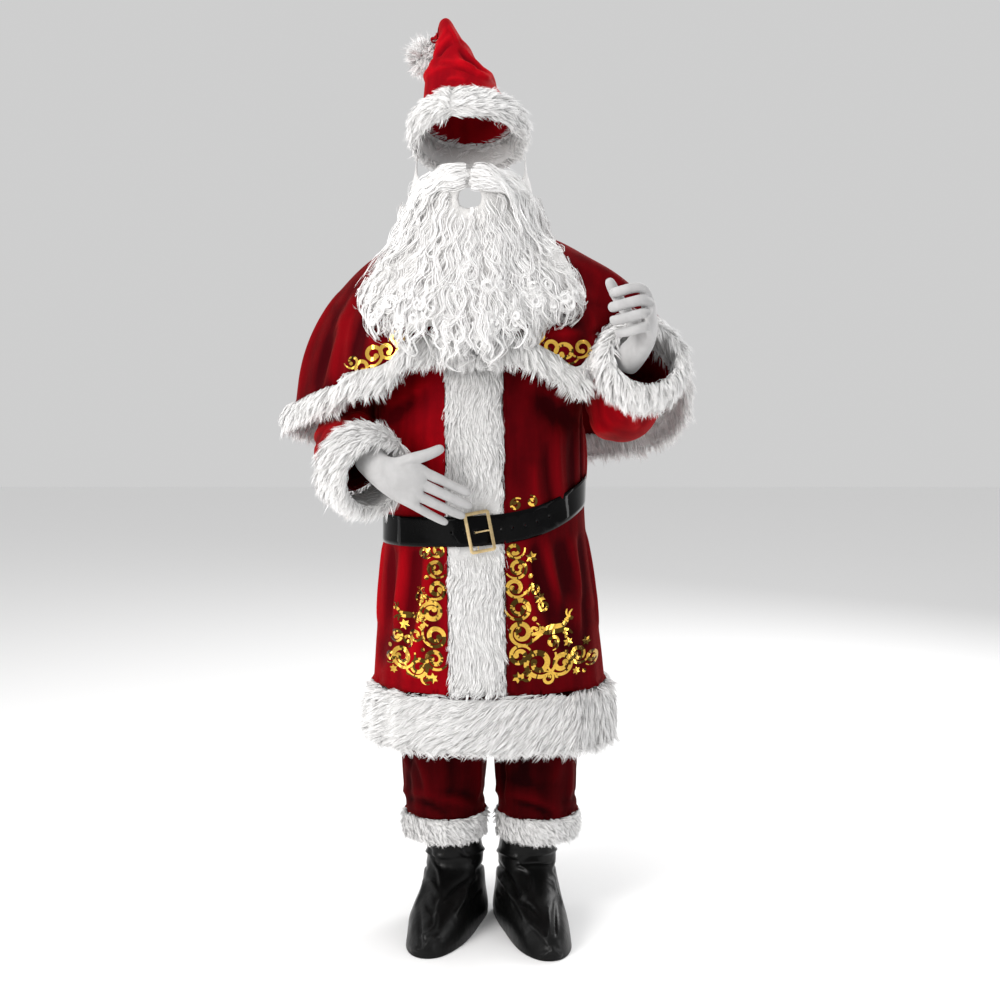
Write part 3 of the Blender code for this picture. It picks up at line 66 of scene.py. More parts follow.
# The studio: a pale floor, a pale surround, two tall soft boxes in front, a broad one overhead, one behind
# and a strip light at each side for the glossy pieces. The camera stands at chest height, 3.2 m in front of
# the suit, and looks down a little. Its lens is shifted down for the rest, so that uprights hardly lean.
CAMERA_PLACE = (0.044, -3.2, FLOOR + 1.19)
CAMERA_TILT = math.radians(85.75)
SENSOR_WIDTH, FOCAL_LENGTH, LENS_SHIFT = 36.0, 57.6, -0.05
SURROUND_LIGHT = 0.62
FLOOR_REACH = 9.0
SOFT_BOXES = (  # name, place, aimed at, width, height, watts, colour
    ("key_box", (-2.2, -2.5, 0.6), (0.0, 0.0, -0.45), 1.2, 2.2, 100, (1.0, 0.985, 0.97)),
    ("fill_box", (2.6, -2.4, 0.3), (0.0, 0.0, -0.5), 1.1, 2.2, 18, (0.97, 0.985, 1.0)),
    ("top_box", (-0.4, -0.6, 2.4), (0.0, 0.0, -0.6), 2.2, 2.0, 32, (1.0, 1.0, 1.0)),
    ("back_box", (1.6, 2.3, 1.2), (0.0, 0.0, -0.3), 1.4, 1.8, 56, (1.0, 1.0, 1.0)),
    ("left_strip", (2.7, 0.2, -0.3), (0.0, 0.0, -0.5), 0.22, 2.0, 12, (1.0, 1.0, 1.0)),
    ("right_strip", (-2.7, 0.4, -0.3), (0.0, 0.0, -0.5), 0.22, 2.0, 9, (1.0, 1.0, 1.0)),
)


def placed(name, data):
    """A new object in the scene."""
    made = bpy.data.objects.new(name, data)
    bpy.context.scene.collection.objects.link(made)
    return made


def set_inputs(node, **values):
    """Sets a shader node's inputs, whose names have _ for each space."""
    for label, value in values.items():
        node.inputs[label.replace("_", " ")].default_value = value


def plain_material(name, colour, roughness, **settings):
    made = bpy.data.materials.new(name)
    made.use_nodes = True
    shader = made.node_tree.nodes["Principled BSDF"]
    set_inputs(shader, Base_Color=(*colour, 1), Roughness=roughness, **settings)
    return made


camera = placed("camera", bpy.data.cameras.new("camera"))
camera.location = CAMERA_PLACE
camera.rotation_euler = (CAMERA_TILT, 0, 0)
camera.data.sensor_width = SENSOR_WIDTH
camera.data.lens = FOCAL_LENGTH
camera.data.shift_y = LENS_SHIFT
bpy.context.scene.camera = camera

for name, place, aim, wide, tall, watts, colour in SOFT_BOXES:
    lamp = bpy.data.lights.new(name, "AREA")
    lamp.shape, lamp.size, lamp.size_y = "RECTANGLE", wide, tall
    lamp.energy, lamp.color = watts, colour
    box = placed(name, lamp)
    box.location = place
    box.rotation_euler = (Vector(aim) - Vector(place)).to_track_quat("-Z", "Y").to_euler()

world = bpy.data.worlds.new("surround")
world.use_nodes = True
set_inputs(world.node_tree.nodes["Background"], Color=(1.0, 1.0, 1.0, 1), Strength=SURROUND_LIGHT)
bpy.context.scene.world = world
bpy.context.scene.view_settings.view_transform = "Standard"

floor_mesh = bpy.data.meshes.new("floor")
floor_corners = [
    (x * FLOOR_REACH, y * FLOOR_REACH, FLOOR - 0.001) for x, y in ((-1, -1), (1, -1), (1, 1), (-1, 1))
]
floor_mesh.from_pydata(floor_corners, [], [(0, 1, 2, 3)])
floor_mesh.materials.append(plain_material("floor_paint", (0.93, 0.93, 0.93), 0.85))
placed("floor", floor_mesh)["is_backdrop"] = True


# Velvet: short pile on a knitted back. It is dark where it is looked at straight and glows at its edges, and
# the pile lies one way here and another there, which leaves soft lighter and darker patches.
def node_group(name, inputs, outputs):
    """An empty shader group with its sockets: name, kind and, for an input, its value."""
    group = bpy.data.node_groups.new(name, "ShaderNodeTree")
    for label, kind, value in inputs:
        socket = group.interface.new_socket(label, in_out="INPUT", socket_type=kind)
        socket.default_value = value
    for label, kind in outputs:
        group.interface.new_socket(label, in_out="OUTPUT", socket_type=kind)
    return group, group.nodes.new("NodeGroupInput"), group.nodes.new("NodeGroupOutput")


def wire(tree, *links):
    for start, end in links:
        tree.links.new(start, end)


def maths(tree, operation, value):
    """A Math node whose second input is value."""
    made = tree.nodes.new("ShaderNodeMath")
    made.operation = operation
    made.inputs[1].default_value = value
    return made


def make_nap_group():
    """How a pile lies: a colour that varies in patches and streaks, with painted shade down in the folds and
    a painted highlight on them, and the height of its fine grain."""
    group, given, result = node_group(
        "pile_nap",
        (
            ("Deep", "NodeSocketColor", (0.3, 0, 0, 1)), ("Bright", "NodeSocketColor", (0.6, 0, 0, 1)),
            ("Patch Size", "NodeSocketFloat", 8.0), ("Grain Size", "NodeSocketFloat", 900.0),
        ),
        (("Colour", "NodeSocketColor"), ("Height", "NodeSocketFloat")),
    )
    place = group.nodes.new("ShaderNodeTexCoord")
    patches, streaks, grain = (group.nodes.new("ShaderNodeTexNoise") for _ in range(3))
    stretch = group.nodes.new("ShaderNodeMapping")
    set_inputs(stretch, Scale=(42, 42, 3.5))
    set_inputs(patches, Detail=7, Roughness=0.64, Distortion=0.6)
    set_inputs(streaks, Scale=1.0, Detail=2)
    calm = maths(group, "MULTIPLY", 0.60)  # the patches' share
    both = maths(group, "MULTIPLY_ADD", 0.35)  # and the streaks'
    with_fold_shade = maths(group, "MULTIPLY_ADD", 0.21)  # and the folds': painted shade in them, painted highlight on them
    fold_shade = group.nodes.new("ShaderNodeAttribute")
    fold_shade.attribute_name = "fold_shade"
    spread = group.nodes.new("ShaderNodeMapRange")
    set_inputs(spread, From_Min=0.28, From_Max=0.74)
    blend = group.nodes.new("ShaderNodeMix")
    blend.data_type = "RGBA"
    wire(
        group,
        (place.outputs["Object"], patches.inputs["Vector"]),
        (given.outputs["Patch Size"], patches.inputs["Scale"]),
        (place.outputs["Object"], stretch.inputs["Vector"]),
        (stretch.outputs["Vector"], streaks.inputs["Vector"]),
        (place.outputs["Object"], grain.inputs["Vector"]),
        (given.outputs["Grain Size"], grain.inputs["Scale"]),
        (patches.outputs["Fac"], calm.inputs[0]),
        (streaks.outputs["Fac"], both.inputs[0]),
        (calm.outputs[0], both.inputs[2]),
        (fold_shade.outputs["Fac"], with_fold_shade.inputs[0]),
        (both.outputs[0], with_fold_shade.inputs[2]),
        (with_fold_shade.outputs[0], spread.inputs["Value"]),
        (spread.outputs["Result"], blend.inputs["Factor"]),
        (given.outputs["Deep"], blend.inputs["A"]),
        (given.outputs["Bright"], blend.inputs["B"]),
        (blend.outputs["Result"], result.inputs["Colour"]),
        (grain.outputs["Fac"], result.inputs["Height"]),
    )
    return group


def group_in(material, group, **values):
    """Places a group in a material and sets its inputs."""
    made = material.node_tree.nodes.new("ShaderNodeGroup")
    made.node_tree = group
    set_inputs(made, **values)
    return made


def finished(material, colour, height, depth, strength):
    """Feeds a colour and, through a Bump node, a height to a material's shader."""
    tree = material.node_tree
    shader = tree.nodes["Principled BSDF"]
    bump = tree.nodes.new("ShaderNodeBump")
    set_inputs(bump, Distance=depth, Strength=strength)
    wire(
        tree,
        (colour, shader.inputs["Base Color"]),
        (height, bump.inputs["Height"]),
        (bump.outputs["Normal"], shader.inputs["Normal"]),
    )
    return material


pile_nap = make_nap_group()


def napped(material, deep, bright, patch, grain, depth, strength):
    """Gives a material the nap's patches, between a deep and a bright colour, and its grain."""
    nap = group_in(
        material, pile_nap, Deep=(*deep, 1), Bright=(*bright, 1), Patch_Size=patch, Grain_Size=grain,
    )
    return finished(material, nap.outputs["Colour"], nap.outputs["Height"], depth, strength)


def make_velvet(name, deep, bright, sheen):
    made = plain_material(
        name, deep, 0.72, Sheen_Weight=sheen, Sheen_Roughness=0.34, Sheen_Tint=(1.0, 0.10, 0.08, 1),
        Specular_IOR_Level=0.02,
    )
    return napped(made, deep, bright, patch=3.4, grain=1400.0, depth=0.0006, strength=0.5)


velvet = make_velvet("red_velvet", (0.075, 0.0004, 0.0025), (0.33, 0.0012, 0.005), 0.26)
# The wearer's left front gets a darker copy of the velvet: partly because its nap runs up, partly as painted
# shade for the side turned from the key light.
shaded_velvet = make_velvet("red_velvet_nap_up_painted_shade", (0.026, 0.0002, 0.0012), (0.14, 0.0008, 0.003), 0.22)
# The cape gets a darker copy of the same velvet, as painted shade.
cape_velvet = make_velvet("cape_velvet", (0.034, 0.0002, 0.0014), (0.16, 0.0008, 0.003), 0.22)
# The trousers get a darker copy of the same velvet, as painted shade from the coat over them.
shaded_trouser_velvet = make_velvet("shaded_trouser_velvet", (0.010, 0.0001, 0.0005), (0.066, 0.0004, 0.0016), 0.18)
hat_velvet = make_velvet("hat_velvet", (0.13, 0.0008, 0.004), (0.40, 0.002, 0.007), 0.34)


# The coat: two fronts, a back seamed down its middle and a yoke across the shoulders, cut flared, with the
# belt drawing them in. Such velvet hangs in soft upright folds from the belt and the underarms.
def joined(name):
    """A piece's solid with its corners joined, as a bmesh."""
    work = bmesh.new()
    work.from_mesh(nodes[name].data)
    bmesh.ops.remove_doubles(work, verts=work.verts[:], dist=2e-6)
    return work


def in_fours(work, bent, skewed):
    """Joins triangles in pairs, where they are no more bent and skewed than these angles in degrees."""
    bmesh.ops.join_triangles(
        work, faces=work.faces[:], angle_face_threshold=math.radians(bent),
        angle_shape_threshold=math.radians(skewed),
    )
    return work


def outer_sheet(name, bend):
    """The outward side of a piece's wall, in four-sided faces. Its rims and its inner side are left off,
    because they lie past an edge that bends more than bend, in degrees."""
    work = joined(name)
    work.faces.ensure_lookup_table()
    limit, seen, best = math.radians(bend), set(), (0.0, [])
    for first in work.faces:
        if first.index in seen:
            continue
        seen.add(first.index)
        side, queue = [], [first]
        while queue:
            face = queue.pop()
            side.append(face)
            for edge in face.edges:
                if len(edge.link_faces) == 2 and edge.calc_face_angle() < limit:
                    for near in edge.link_faces:
                        if near.index not in seen:
                            seen.add(near.index)
                            queue.append(near)
        area = sum(face.calc_area() for face in side)
        if area > best[0]:
            best = (area, side)
    keep = {face.index for face in best[1]}
    bmesh.ops.delete(work, geom=[face for face in work.faces if face.index not in keep], context="FACES")
    return in_fours(work, 70, 120)


def piece_from(name, work):
    """A new object from a bmesh, which is used up."""
    mesh = bpy.data.meshes.new(name)
    work.to_mesh(mesh)
    work.free()
    return placed(name, mesh)


def settle(piece):
    """Works the piece's modifiers into its mesh."""
    bpy.context.view_layer.update()
    done = bpy.data.meshes.new_from_object(piece.evaluated_get(bpy.context.evaluated_depsgraph_get()))
    piece.modifiers.clear()
    old, piece.data = piece.data, done
    bpy.data.meshes.remove(old)
    return piece


def rounded(piece, levels):
    """Rounds a piece's flat facets off."""
    subdivide = piece.modifiers.new("rounded", "SUBSURF")
    subdivide.levels = subdivide.render_levels = levels
    subdivide.boundary_smooth = "PRESERVE_CORNERS"
    return settle(piece)


def threes(items, field, kind):
    """A field of a mesh's items, three values to a row."""
    flat = np.empty(len(items) * 3, kind)
    items.foreach_get(field, flat)
    return flat.reshape(-1, 3)


def points_of(piece):
    return threes(piece.data.vertices, "co", np.float32).astype(float)


def normals_of(piece):
    return threes(piece.data.vertex_normals, "vector", np.float32).astype(float)


def triangles_of(piece):
    piece.data.calc_loop_triangles()
    return threes(piece.data.loop_triangles, "vertices", np.int32)


def set_points(piece, points):
    piece.data.vertices.foreach_set("co", np.asarray(points, np.float32).ravel())
    piece.data.update()


def tree_of(pieces):
    """Several pieces' surfaces, to measure against."""
    spots, faces, start = [], [], 0
    for piece in pieces:
        spots.append(points_of(piece))
        faces.append(triangles_of(piece) + start)
        start += len(spots[-1])
    return BVHTree.FromPolygons(np.concatenate(spots).tolist(), np.concatenate(faces).tolist())


def soft_step(t):
    t = np.clip(t, 0.0, 1.0)
    return t * t * (3 - 2 * t)


def above(points, height, over):
    """How far points have risen past a height: from 0 there to 1 where they are over metres higher."""
    return soft_step((points[:, 2] - FLOOR - height) / over)


LOOKS = {  # the axis of u, and the outward axis with its sign
    "front": (0, 1, -1), "back": (0, 1, 1), "left": (1, 0, 1), "right": (1, 0, -1),
}
FOLD_POINTS = 9  # along each fold's line
FOLD_FLANKS = (1.35, 0.75)  # its gentle side and its steep side, as shares of its width


def fold_push(points, normals, folds):
    """How far folds move each point out. They are drawn on the side of the suit that they show on: front,
    back, left or right. Each runs from (u, height) to (u, height), where u is x, or y on the left and right.
    bow bends it sideways, width is how broad it is, and depth how far it stands out, or in if below 0."""
    push = np.zeros(len(points))
    for look, rows in folds.items():
        u, axis, sign = LOOKS[look]
        near = np.nonzero(normals[:, axis] * sign > -0.1)[0]
        facing = soft_step((normals[near, axis] * sign + 0.1) / 0.5)
        place = np.stack((points[near, u], points[near, 2] - FLOOR), 1)
        for u1, h1, u2, h2, bow, width, depth in rows:
            start, end = np.array((u1, h1)), np.array((u2, h2))
            across = np.array((-(end - start)[1], (end - start)[0])) / np.linalg.norm(end - start)
            shares = np.linspace(0, 1, FOLD_POINTS)
            line = [start + (end - start) * t + across * bow * 4 * t * (1 - t) for t in shares]
            best, where, side = np.full(len(near), np.inf), np.zeros(len(near)), np.zeros(len(near))
            for k in range(FOLD_POINTS - 1):
                way = line[k + 1] - line[k]
                share = np.clip((place - line[k]) @ way / (way @ way), 0, 1)
                off = place - (line[k] + share[:, None] * way)
                away = np.hypot(off[:, 0], off[:, 1])
                closer = away < best
                best[closer] = away[closer]
                where[closer] = ((k + share) / (FOLD_POINTS - 1))[closer]
                side[closer] = (off @ across)[closer]
            breadth = width * np.where(side > 0, *FOLD_FLANKS)
            taper = np.sqrt(np.clip(4 * where * (1 - where), 0, 1))
            push[near] += depth * np.exp(-((best / breadth) ** 2)) * taper * facing
    return push


def ripple(points, scale, seed):
    """Slow, even unevenness of a cloth, from -1 to 1."""
    x, y, z = (points[:, k] * scale + seed * (1.7 + k) for k in range(3))
    first = np.sin(x + 1.3 * np.sin(0.7 * z + y)) * np.cos(0.8 * y + 1.1 * np.sin(0.6 * z))
    return 0.6 * first + 0.4 * np.sin(1.9 * x - 0.5 * z + 1.7 * np.sin(1.2 * y + 0.4 * z))


FUR_NEAR, FUR_OVERLAP = 0.004, 0.005  # how near its fur a cloth edge lies, and how far in it is sewn


def into_fur(points, furs):
    """Edges that meet fur, moved into it, as cloth is where fur is sewn over its edge."""
    fur = tree_of([nodes[name] for name in furs])
    for k, point in enumerate(points):
        met = fur.find_nearest(Vector(point), FUR_NEAR)
        if met[0] is not None:
            points[k] -= np.array(met[1]) * FUR_OVERLAP * soft_step((FUR_NEAR - met[3]) / 0.003)
    return points


def dress(piece, material, slot, *replaced):
    """Gives a piece its material and smooth shading, hangs it from the root body and hides the parts it
    replaces.
    """
    piece.data.materials.clear()
    piece.data.materials.append(material)
    piece.data.shade_smooth()
    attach(piece, "root")
    if replaced:
        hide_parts(*replaced)
    return piece


CLOTH_THICKNESS = 0.0018  # shown at the rims
FULL_SHADE_FOLD = 0.005  # the depth of fold at which its painted shade or highlight is as deep or as bright as the nap goes
RIPPLES = 22.0  # radians of a cloth's unevenness in a metre


def cloth_piece(node, name, folds, material, slot, still=None, unevenness=0.0012, seed=1, bend=62.0, furs=()):
    """A sheet of cloth on a piece's outer form, with its folds pushed in and out. still says, from 0 to 1,
    how much each point is held by what is sewn or strapped over it. furs are the fur pieces on its edges."""
    piece = rounded(piece_from(name, outer_sheet(node, bend)), 3)
    points, normals = points_of(piece), normals_of(piece)
    push = fold_push(points, normals, folds) + unevenness * ripple(points, RIPPLES, seed)
    if still is not None:
        push *= 1 - still(points)
    points = points + normals * push[:, None]
    set_points(piece, into_fur(points, furs) if furs else points)
    # The push is kept on the mesh, so that the material paints shade in the hollows and highlight on the
    # ridges.
    fold_shade = piece.data.attributes.new("fold_shade", "FLOAT", "POINT")
    fold_shade.data.foreach_set("value", np.clip(push / FULL_SHADE_FOLD, -1, 1).astype(np.float32))
    rim = piece.modifiers.new("rim", "SOLIDIFY")
    rim.thickness, rim.offset = CLOTH_THICKNESS, -1
    rim.use_rim, rim.use_rim_only = True, True
    return dress(settle(piece), material, slot, node)


COAT_FOLDS = {  # from (u, height), to (u, height), bow, width, depth
    "front": (
        (-0.119, 0.790, -0.150, 0.560, 0.010, 0.013, -0.0087),
        (-0.098, 0.790, -0.142, 0.520, 0.012, 0.012, 0.0072),
        (-0.075, 0.785, -0.105, 0.560, 0.006, 0.010, -0.0055),
        (-0.145, 0.785, -0.176, 0.600, 0.006, 0.011, 0.0067),
        (-0.165, 0.780, -0.196, 0.530, 0.004, 0.012, -0.0072),
        (0.104, 0.795, 0.180, 0.560, -0.014, 0.013, -0.0087),
        (0.128, 0.800, 0.196, 0.620, -0.012, 0.011, 0.0075),
        (0.085, 0.790, 0.120, 0.600, -0.006, 0.010, 0.0052),
        (0.150, 0.805, 0.212, 0.520, -0.010, 0.012, -0.0070),
        (0.178, 0.815, 0.222, 0.640, -0.006, 0.010, 0.0065),
        (0.190, 0.860, 0.188, 1.000, 0.004, 0.009, -0.0067),
        (0.166, 0.855, 0.158, 1.010, 0.006, 0.009, 0.0058),
        (0.145, 0.850, 0.136, 0.980, 0.004, 0.008, -0.0052),
        (0.120, 0.848, 0.112, 0.940, 0.003, 0.008, 0.0041),
        (0.200, 1.010, 0.120, 1.090, 0.012, 0.014, -0.0072),
        (0.190, 1.060, 0.090, 1.110, 0.010, 0.012, 0.0061),
        (-0.110, 0.850, -0.104, 0.960, -0.004, 0.009, -0.0052),
        (-0.140, 0.850, -0.138, 0.985, -0.004, 0.009, 0.0058),
        (-0.170, 0.855, -0.176, 1.000, -0.004, 0.009, -0.0065),
        (-0.180, 1.050, -0.090, 1.100, -0.010, 0.013, 0.0061),
        (-0.190, 1.010, -0.120, 1.075, -0.010, 0.012, -0.0058),
    ),
    "back": (
        (-0.150, 0.790, -0.186, 0.530, 0.008, 0.012, -0.0087),
        (-0.120, 0.790, -0.140, 0.580, 0.006, 0.011, 0.0072),
        (-0.082, 0.785, -0.104, 0.520, 0.006, 0.013, -0.0090),
        (-0.045, 0.785, -0.052, 0.600, 0.004, 0.010, 0.0067),
        (-0.008, 0.785, -0.004, 0.540, 0.004, 0.012, -0.0081),
        (0.034, 0.790, 0.046, 0.620, -0.004, 0.010, 0.0064),
        (0.070, 0.790, 0.100, 0.530, -0.008, 0.013, -0.0093),
        (0.108, 0.795, 0.140, 0.590, -0.006, 0.011, 0.0072),
        (0.142, 0.800, 0.190, 0.520, -0.010, 0.012, -0.0084),
        (-0.130, 0.855, -0.120, 0.990, 0.004, 0.009, -0.0064),
        (-0.092, 0.850, -0.080, 1.030, 0.004, 0.010, 0.0061),
        (-0.050, 0.850, -0.040, 0.960, 0.003, 0.008, -0.0052),
        (0.000, 0.850, 0.004, 1.010, 0.004, 0.010, 0.0058),
        (0.046, 0.850, 0.040, 0.970, 0.004, 0.009, -0.0058),
        (0.090, 0.852, 0.080, 1.020, 0.004, 0.009, 0.0061),
        (0.134, 0.856, 0.126, 0.980, 0.004, 0.009, -0.0061),
    ),
    "left": (
        (-0.080, 0.800, -0.110, 0.560, 0.006, 0.012, -0.0084),
        (-0.030, 0.800, -0.040, 0.600, 0.004, 0.010, 0.0072),
        (0.020, 0.795, 0.026, 0.530, 0.004, 0.012, -0.0084),
        (0.072, 0.795, 0.096, 0.580, -0.006, 0.011, 0.0072),
        (-0.050, 0.870, -0.040, 1.030, 0.006, 0.010, -0.0067),
        (0.010, 0.870, 0.000, 1.000, 0.004, 0.009, 0.0061),
        (0.060, 0.865, 0.050, 1.020, 0.004, 0.010, -0.0067),
    ),
    "right": (
        (-0.080, 0.785, -0.108, 0.570, 0.006, 0.012, -0.0081),
        (-0.030, 0.785, -0.042, 0.610, 0.004, 0.010, 0.0070),
        (0.018, 0.785, 0.024, 0.540, 0.004, 0.012, -0.0084),
        (0.070, 0.785, 0.092, 0.590, -0.006, 0.011, 0.0070),
        (-0.040, 0.855, -0.034, 1.010, 0.006, 0.010, -0.0067),
        (0.020, 0.855, 0.012, 0.990, 0.004, 0.009, 0.0061),
        (0.066, 0.855, 0.054, 1.020, 0.004, 0.010, -0.0064),
    ),
}
PANELS = (  # node, velvet, flat width and length, the share of that rectangle that is cloth
    ("coat_front_left", shaded_velvet, 0.34, 0.92, 0.86),
    ("coat_front_right", velvet, 0.30, 0.92, 0.86),
    ("coat_back_left", velvet, 0.31, 0.74, 0.90),
    ("coat_back_right", velvet, 0.31, 0.74, 0.90),
    ("coat_yoke_left", velvet, 0.24, 0.20, 0.72),
    ("coat_yoke_right", velvet, 0.24, 0.20, 0.72),
)


BELT_HEIGHT, BELT_REACH, BELT_RISE = 0.811, 0.034, 0.05  # its middle, how far it holds, and its slope
SHOULDERS_FROM = 1.12


def belted(points):
    """The belt, which rises a little to the left, holds the coat still, and so do the neck and underarms."""
    heights = points[:, 2] - FLOOR - BELT_RISE * points[:, 0]
    belt = np.exp(-(((heights - BELT_HEIGHT) / BELT_REACH) ** 4))
    return np.maximum(belt, soft_step((heights - SHOULDERS_FROM) / 0.05) * 0.9)


COAT_FURS = ("coat_hem_fur", "coat_placket_fur")
coat = []
for node, cloth, wide, tall, share in PANELS:
    panel = cloth_piece(node, f"{node}_velvet", COAT_FOLDS, cloth, "velvet", still=belted, furs=COAT_FURS)
    coat.append(panel)


# The sleeves: one piece each, set in at the armhole. Where the elbow bends, the spare cloth lies in
# arcs round the crook, and the cuff's fur holds the wrist.
SLEEVE_FOLDS = {
    "front": (
        (-0.186, 1.036, -0.292, 0.975, 0.034, 0.009, 0.0050),
        (-0.184, 1.018, -0.276, 0.962, 0.026, 0.008, -0.0052),
        (-0.196, 1.052, -0.306, 0.985, 0.036, 0.009, -0.0050),
        (-0.205, 1.070, -0.306, 1.020, 0.026, 0.009, 0.0042),
        (-0.212, 0.990, -0.262, 0.945, 0.018, 0.007, 0.0040),
        (-0.200, 1.100, -0.300, 1.075, 0.014, 0.010, -0.0036),
        (0.232, 1.104, 0.330, 1.026, 0.028, 0.009, 0.0050),
        (0.226, 1.080, 0.318, 1.008, 0.024, 0.008, -0.0050),
        (0.240, 1.060, 0.302, 1.004, 0.016, 0.008, 0.0042),
        (0.240, 1.128, 0.340, 1.060, 0.024, 0.009, -0.0042),
        (0.214, 1.150, 0.300, 1.130, 0.012, 0.010, 0.0036),
    ),
    "left": (
        (-0.150, 1.110, -0.020, 1.030, -0.016, 0.011, -0.0050),
        (-0.120, 1.060, 0.010, 1.000, -0.014, 0.010, 0.0046),
        (-0.070, 1.130, 0.050, 1.060, -0.014, 0.011, 0.0046),
        (-0.060, 1.160, 0.050, 1.110, -0.010, 0.010, -0.0044),
        (-0.040, 1.210, 0.040, 1.180, -0.008, 0.010, 0.0036),
    ),
    "right": (
        (-0.150, 0.985, -0.030, 0.930, 0.010, 0.010, -0.0050),
        (-0.130, 1.000, 0.010, 0.950, 0.014, 0.010, 0.0046),
        (-0.090, 1.020, 0.040, 0.985, 0.014, 0.011, -0.0046),
        (-0.060, 1.060, 0.056, 1.030, 0.012, 0.010, 0.0042),
        (-0.050, 1.110, 0.056, 1.090, 0.010, 0.010, -0.0040),
        (-0.040, 1.170, 0.050, 1.150, 0.008, 0.010, 0.0034),
    ),
    "back": (
        (0.220, 1.090, 0.330, 1.030, -0.014, 0.010, -0.0048),
        (0.216, 1.130, 0.320, 1.090, -0.012, 0.010, 0.0044),
        (0.210, 1.180, 0.306, 1.150, -0.010, 0.010, -0.0038),
        (-0.206, 1.030, -0.310, 0.980, 0.014, 0.010, -0.0048),
        (-0.206, 1.080, -0.306, 1.040, 0.012, 0.010, 0.0044),
        (-0.200, 1.140, -0.300, 1.110, 0.010, 0.010, -0.0038),
    ),
}
for side in ("left", "right"):
    sleeve = cloth_piece(
        f"sleeve_{side}", f"sleeve_{side}_velvet", SLEEVE_FOLDS, velvet, "velvet", seed=3,
        furs=(f"cuff_fur_{side}",),
    )


# The cape: a flared half-circle of velvet laid round the shoulders and open at the front. It breaks into
# soft cones that start on the shoulders and widen to the hem.
CAPE_FOLDS = {
    "front": (
        (-0.238, 1.262, -0.284, 1.092, -0.006, 0.013, 0.0060),
        (-0.205, 1.230, -0.244, 1.100, -0.006, 0.012, -0.0070),
        (-0.180, 1.245, -0.196, 1.120, -0.004, 0.012, 0.0050),
        (-0.262, 1.200, -0.318, 1.080, -0.008, 0.012, -0.0058),
        (-0.140, 1.300, -0.120, 1.180, 0.006, 0.012, -0.0044),
        (-0.214, 1.300, -0.262, 1.220, -0.012, 0.010, -0.0034),
        (0.118, 1.252, 0.240, 1.184, -0.014, 0.011, -0.0052),
        (0.106, 1.190, 0.236, 1.203, -0.012, 0.010, 0.0048),
        (0.150, 1.300, 0.232, 1.250, -0.010, 0.011, 0.0050),
        (0.120, 1.330, 0.206, 1.300, -0.012, 0.012, -0.0040),
        (0.092, 1.300, 0.104, 1.200, 0.004, 0.012, 0.0040),
        (0.258, 1.230, 0.318, 1.110, -0.010, 0.012, -0.0056),
    ),
    "left": (
        (-0.120, 1.240, -0.170, 1.100, -0.010, 0.014, 0.0058),
        (-0.066, 1.250, -0.090, 1.080, -0.006, 0.014, -0.0070),
        (-0.012, 1.270, -0.016, 1.060, 0.004, 0.015, 0.0066),
        (0.044, 1.250, 0.062, 1.050, 0.006, 0.014, -0.0072),
        (0.096, 1.240, 0.132, 1.060, 0.010, 0.014, 0.0060),
    ),
    "right": (
        (-0.120, 1.220, -0.150, 1.080, -0.008, 0.014, 0.0056),
        (-0.066, 1.250, -0.086, 1.060, -0.006, 0.014, -0.0070),
        (-0.010, 1.270, -0.014, 1.050, 0.004, 0.015, 0.0066),
        (0.044, 1.250, 0.060, 1.050, 0.006, 0.014, -0.0072),
        (0.096, 1.240, 0.130, 1.060, 0.010, 0.014, 0.0058),
    ),
    "back": (
        (-0.240, 1.230, -0.300, 1.040, -0.006, 0.014, -0.0070),
        (-0.186, 1.270, -0.236, 1.030, -0.006, 0.015, 0.0066),
        (-0.132, 1.300, -0.160, 1.030, -0.005, 0.015, -0.0074),
        (-0.080, 1.310, -0.092, 1.040, -0.004, 0.014, 0.0060),
        (-0.030, 1.320, -0.034, 1.030, 0.003, 0.015, -0.0066),
        (0.022, 1.310, 0.028, 1.040, 0.003, 0.014, 0.0060),
        (0.076, 1.310, 0.092, 1.030, 0.004, 0.015, -0.0074),
        (0.130, 1.290, 0.160, 1.040, 0.005, 0.015, 0.0064),
        (0.184, 1.270, 0.232, 1.030, 0.006, 0.015, -0.0072),
        (0.238, 1.230, 0.298, 1.050, 0.006, 0.014, 0.0058),
    ),
}
cape = cloth_piece(
    "cape", "cape_velvet", CAPE_FOLDS, cape_velvet, "velvet", seed=5, unevenness=0.0016, furs=("cape_fur",),
)


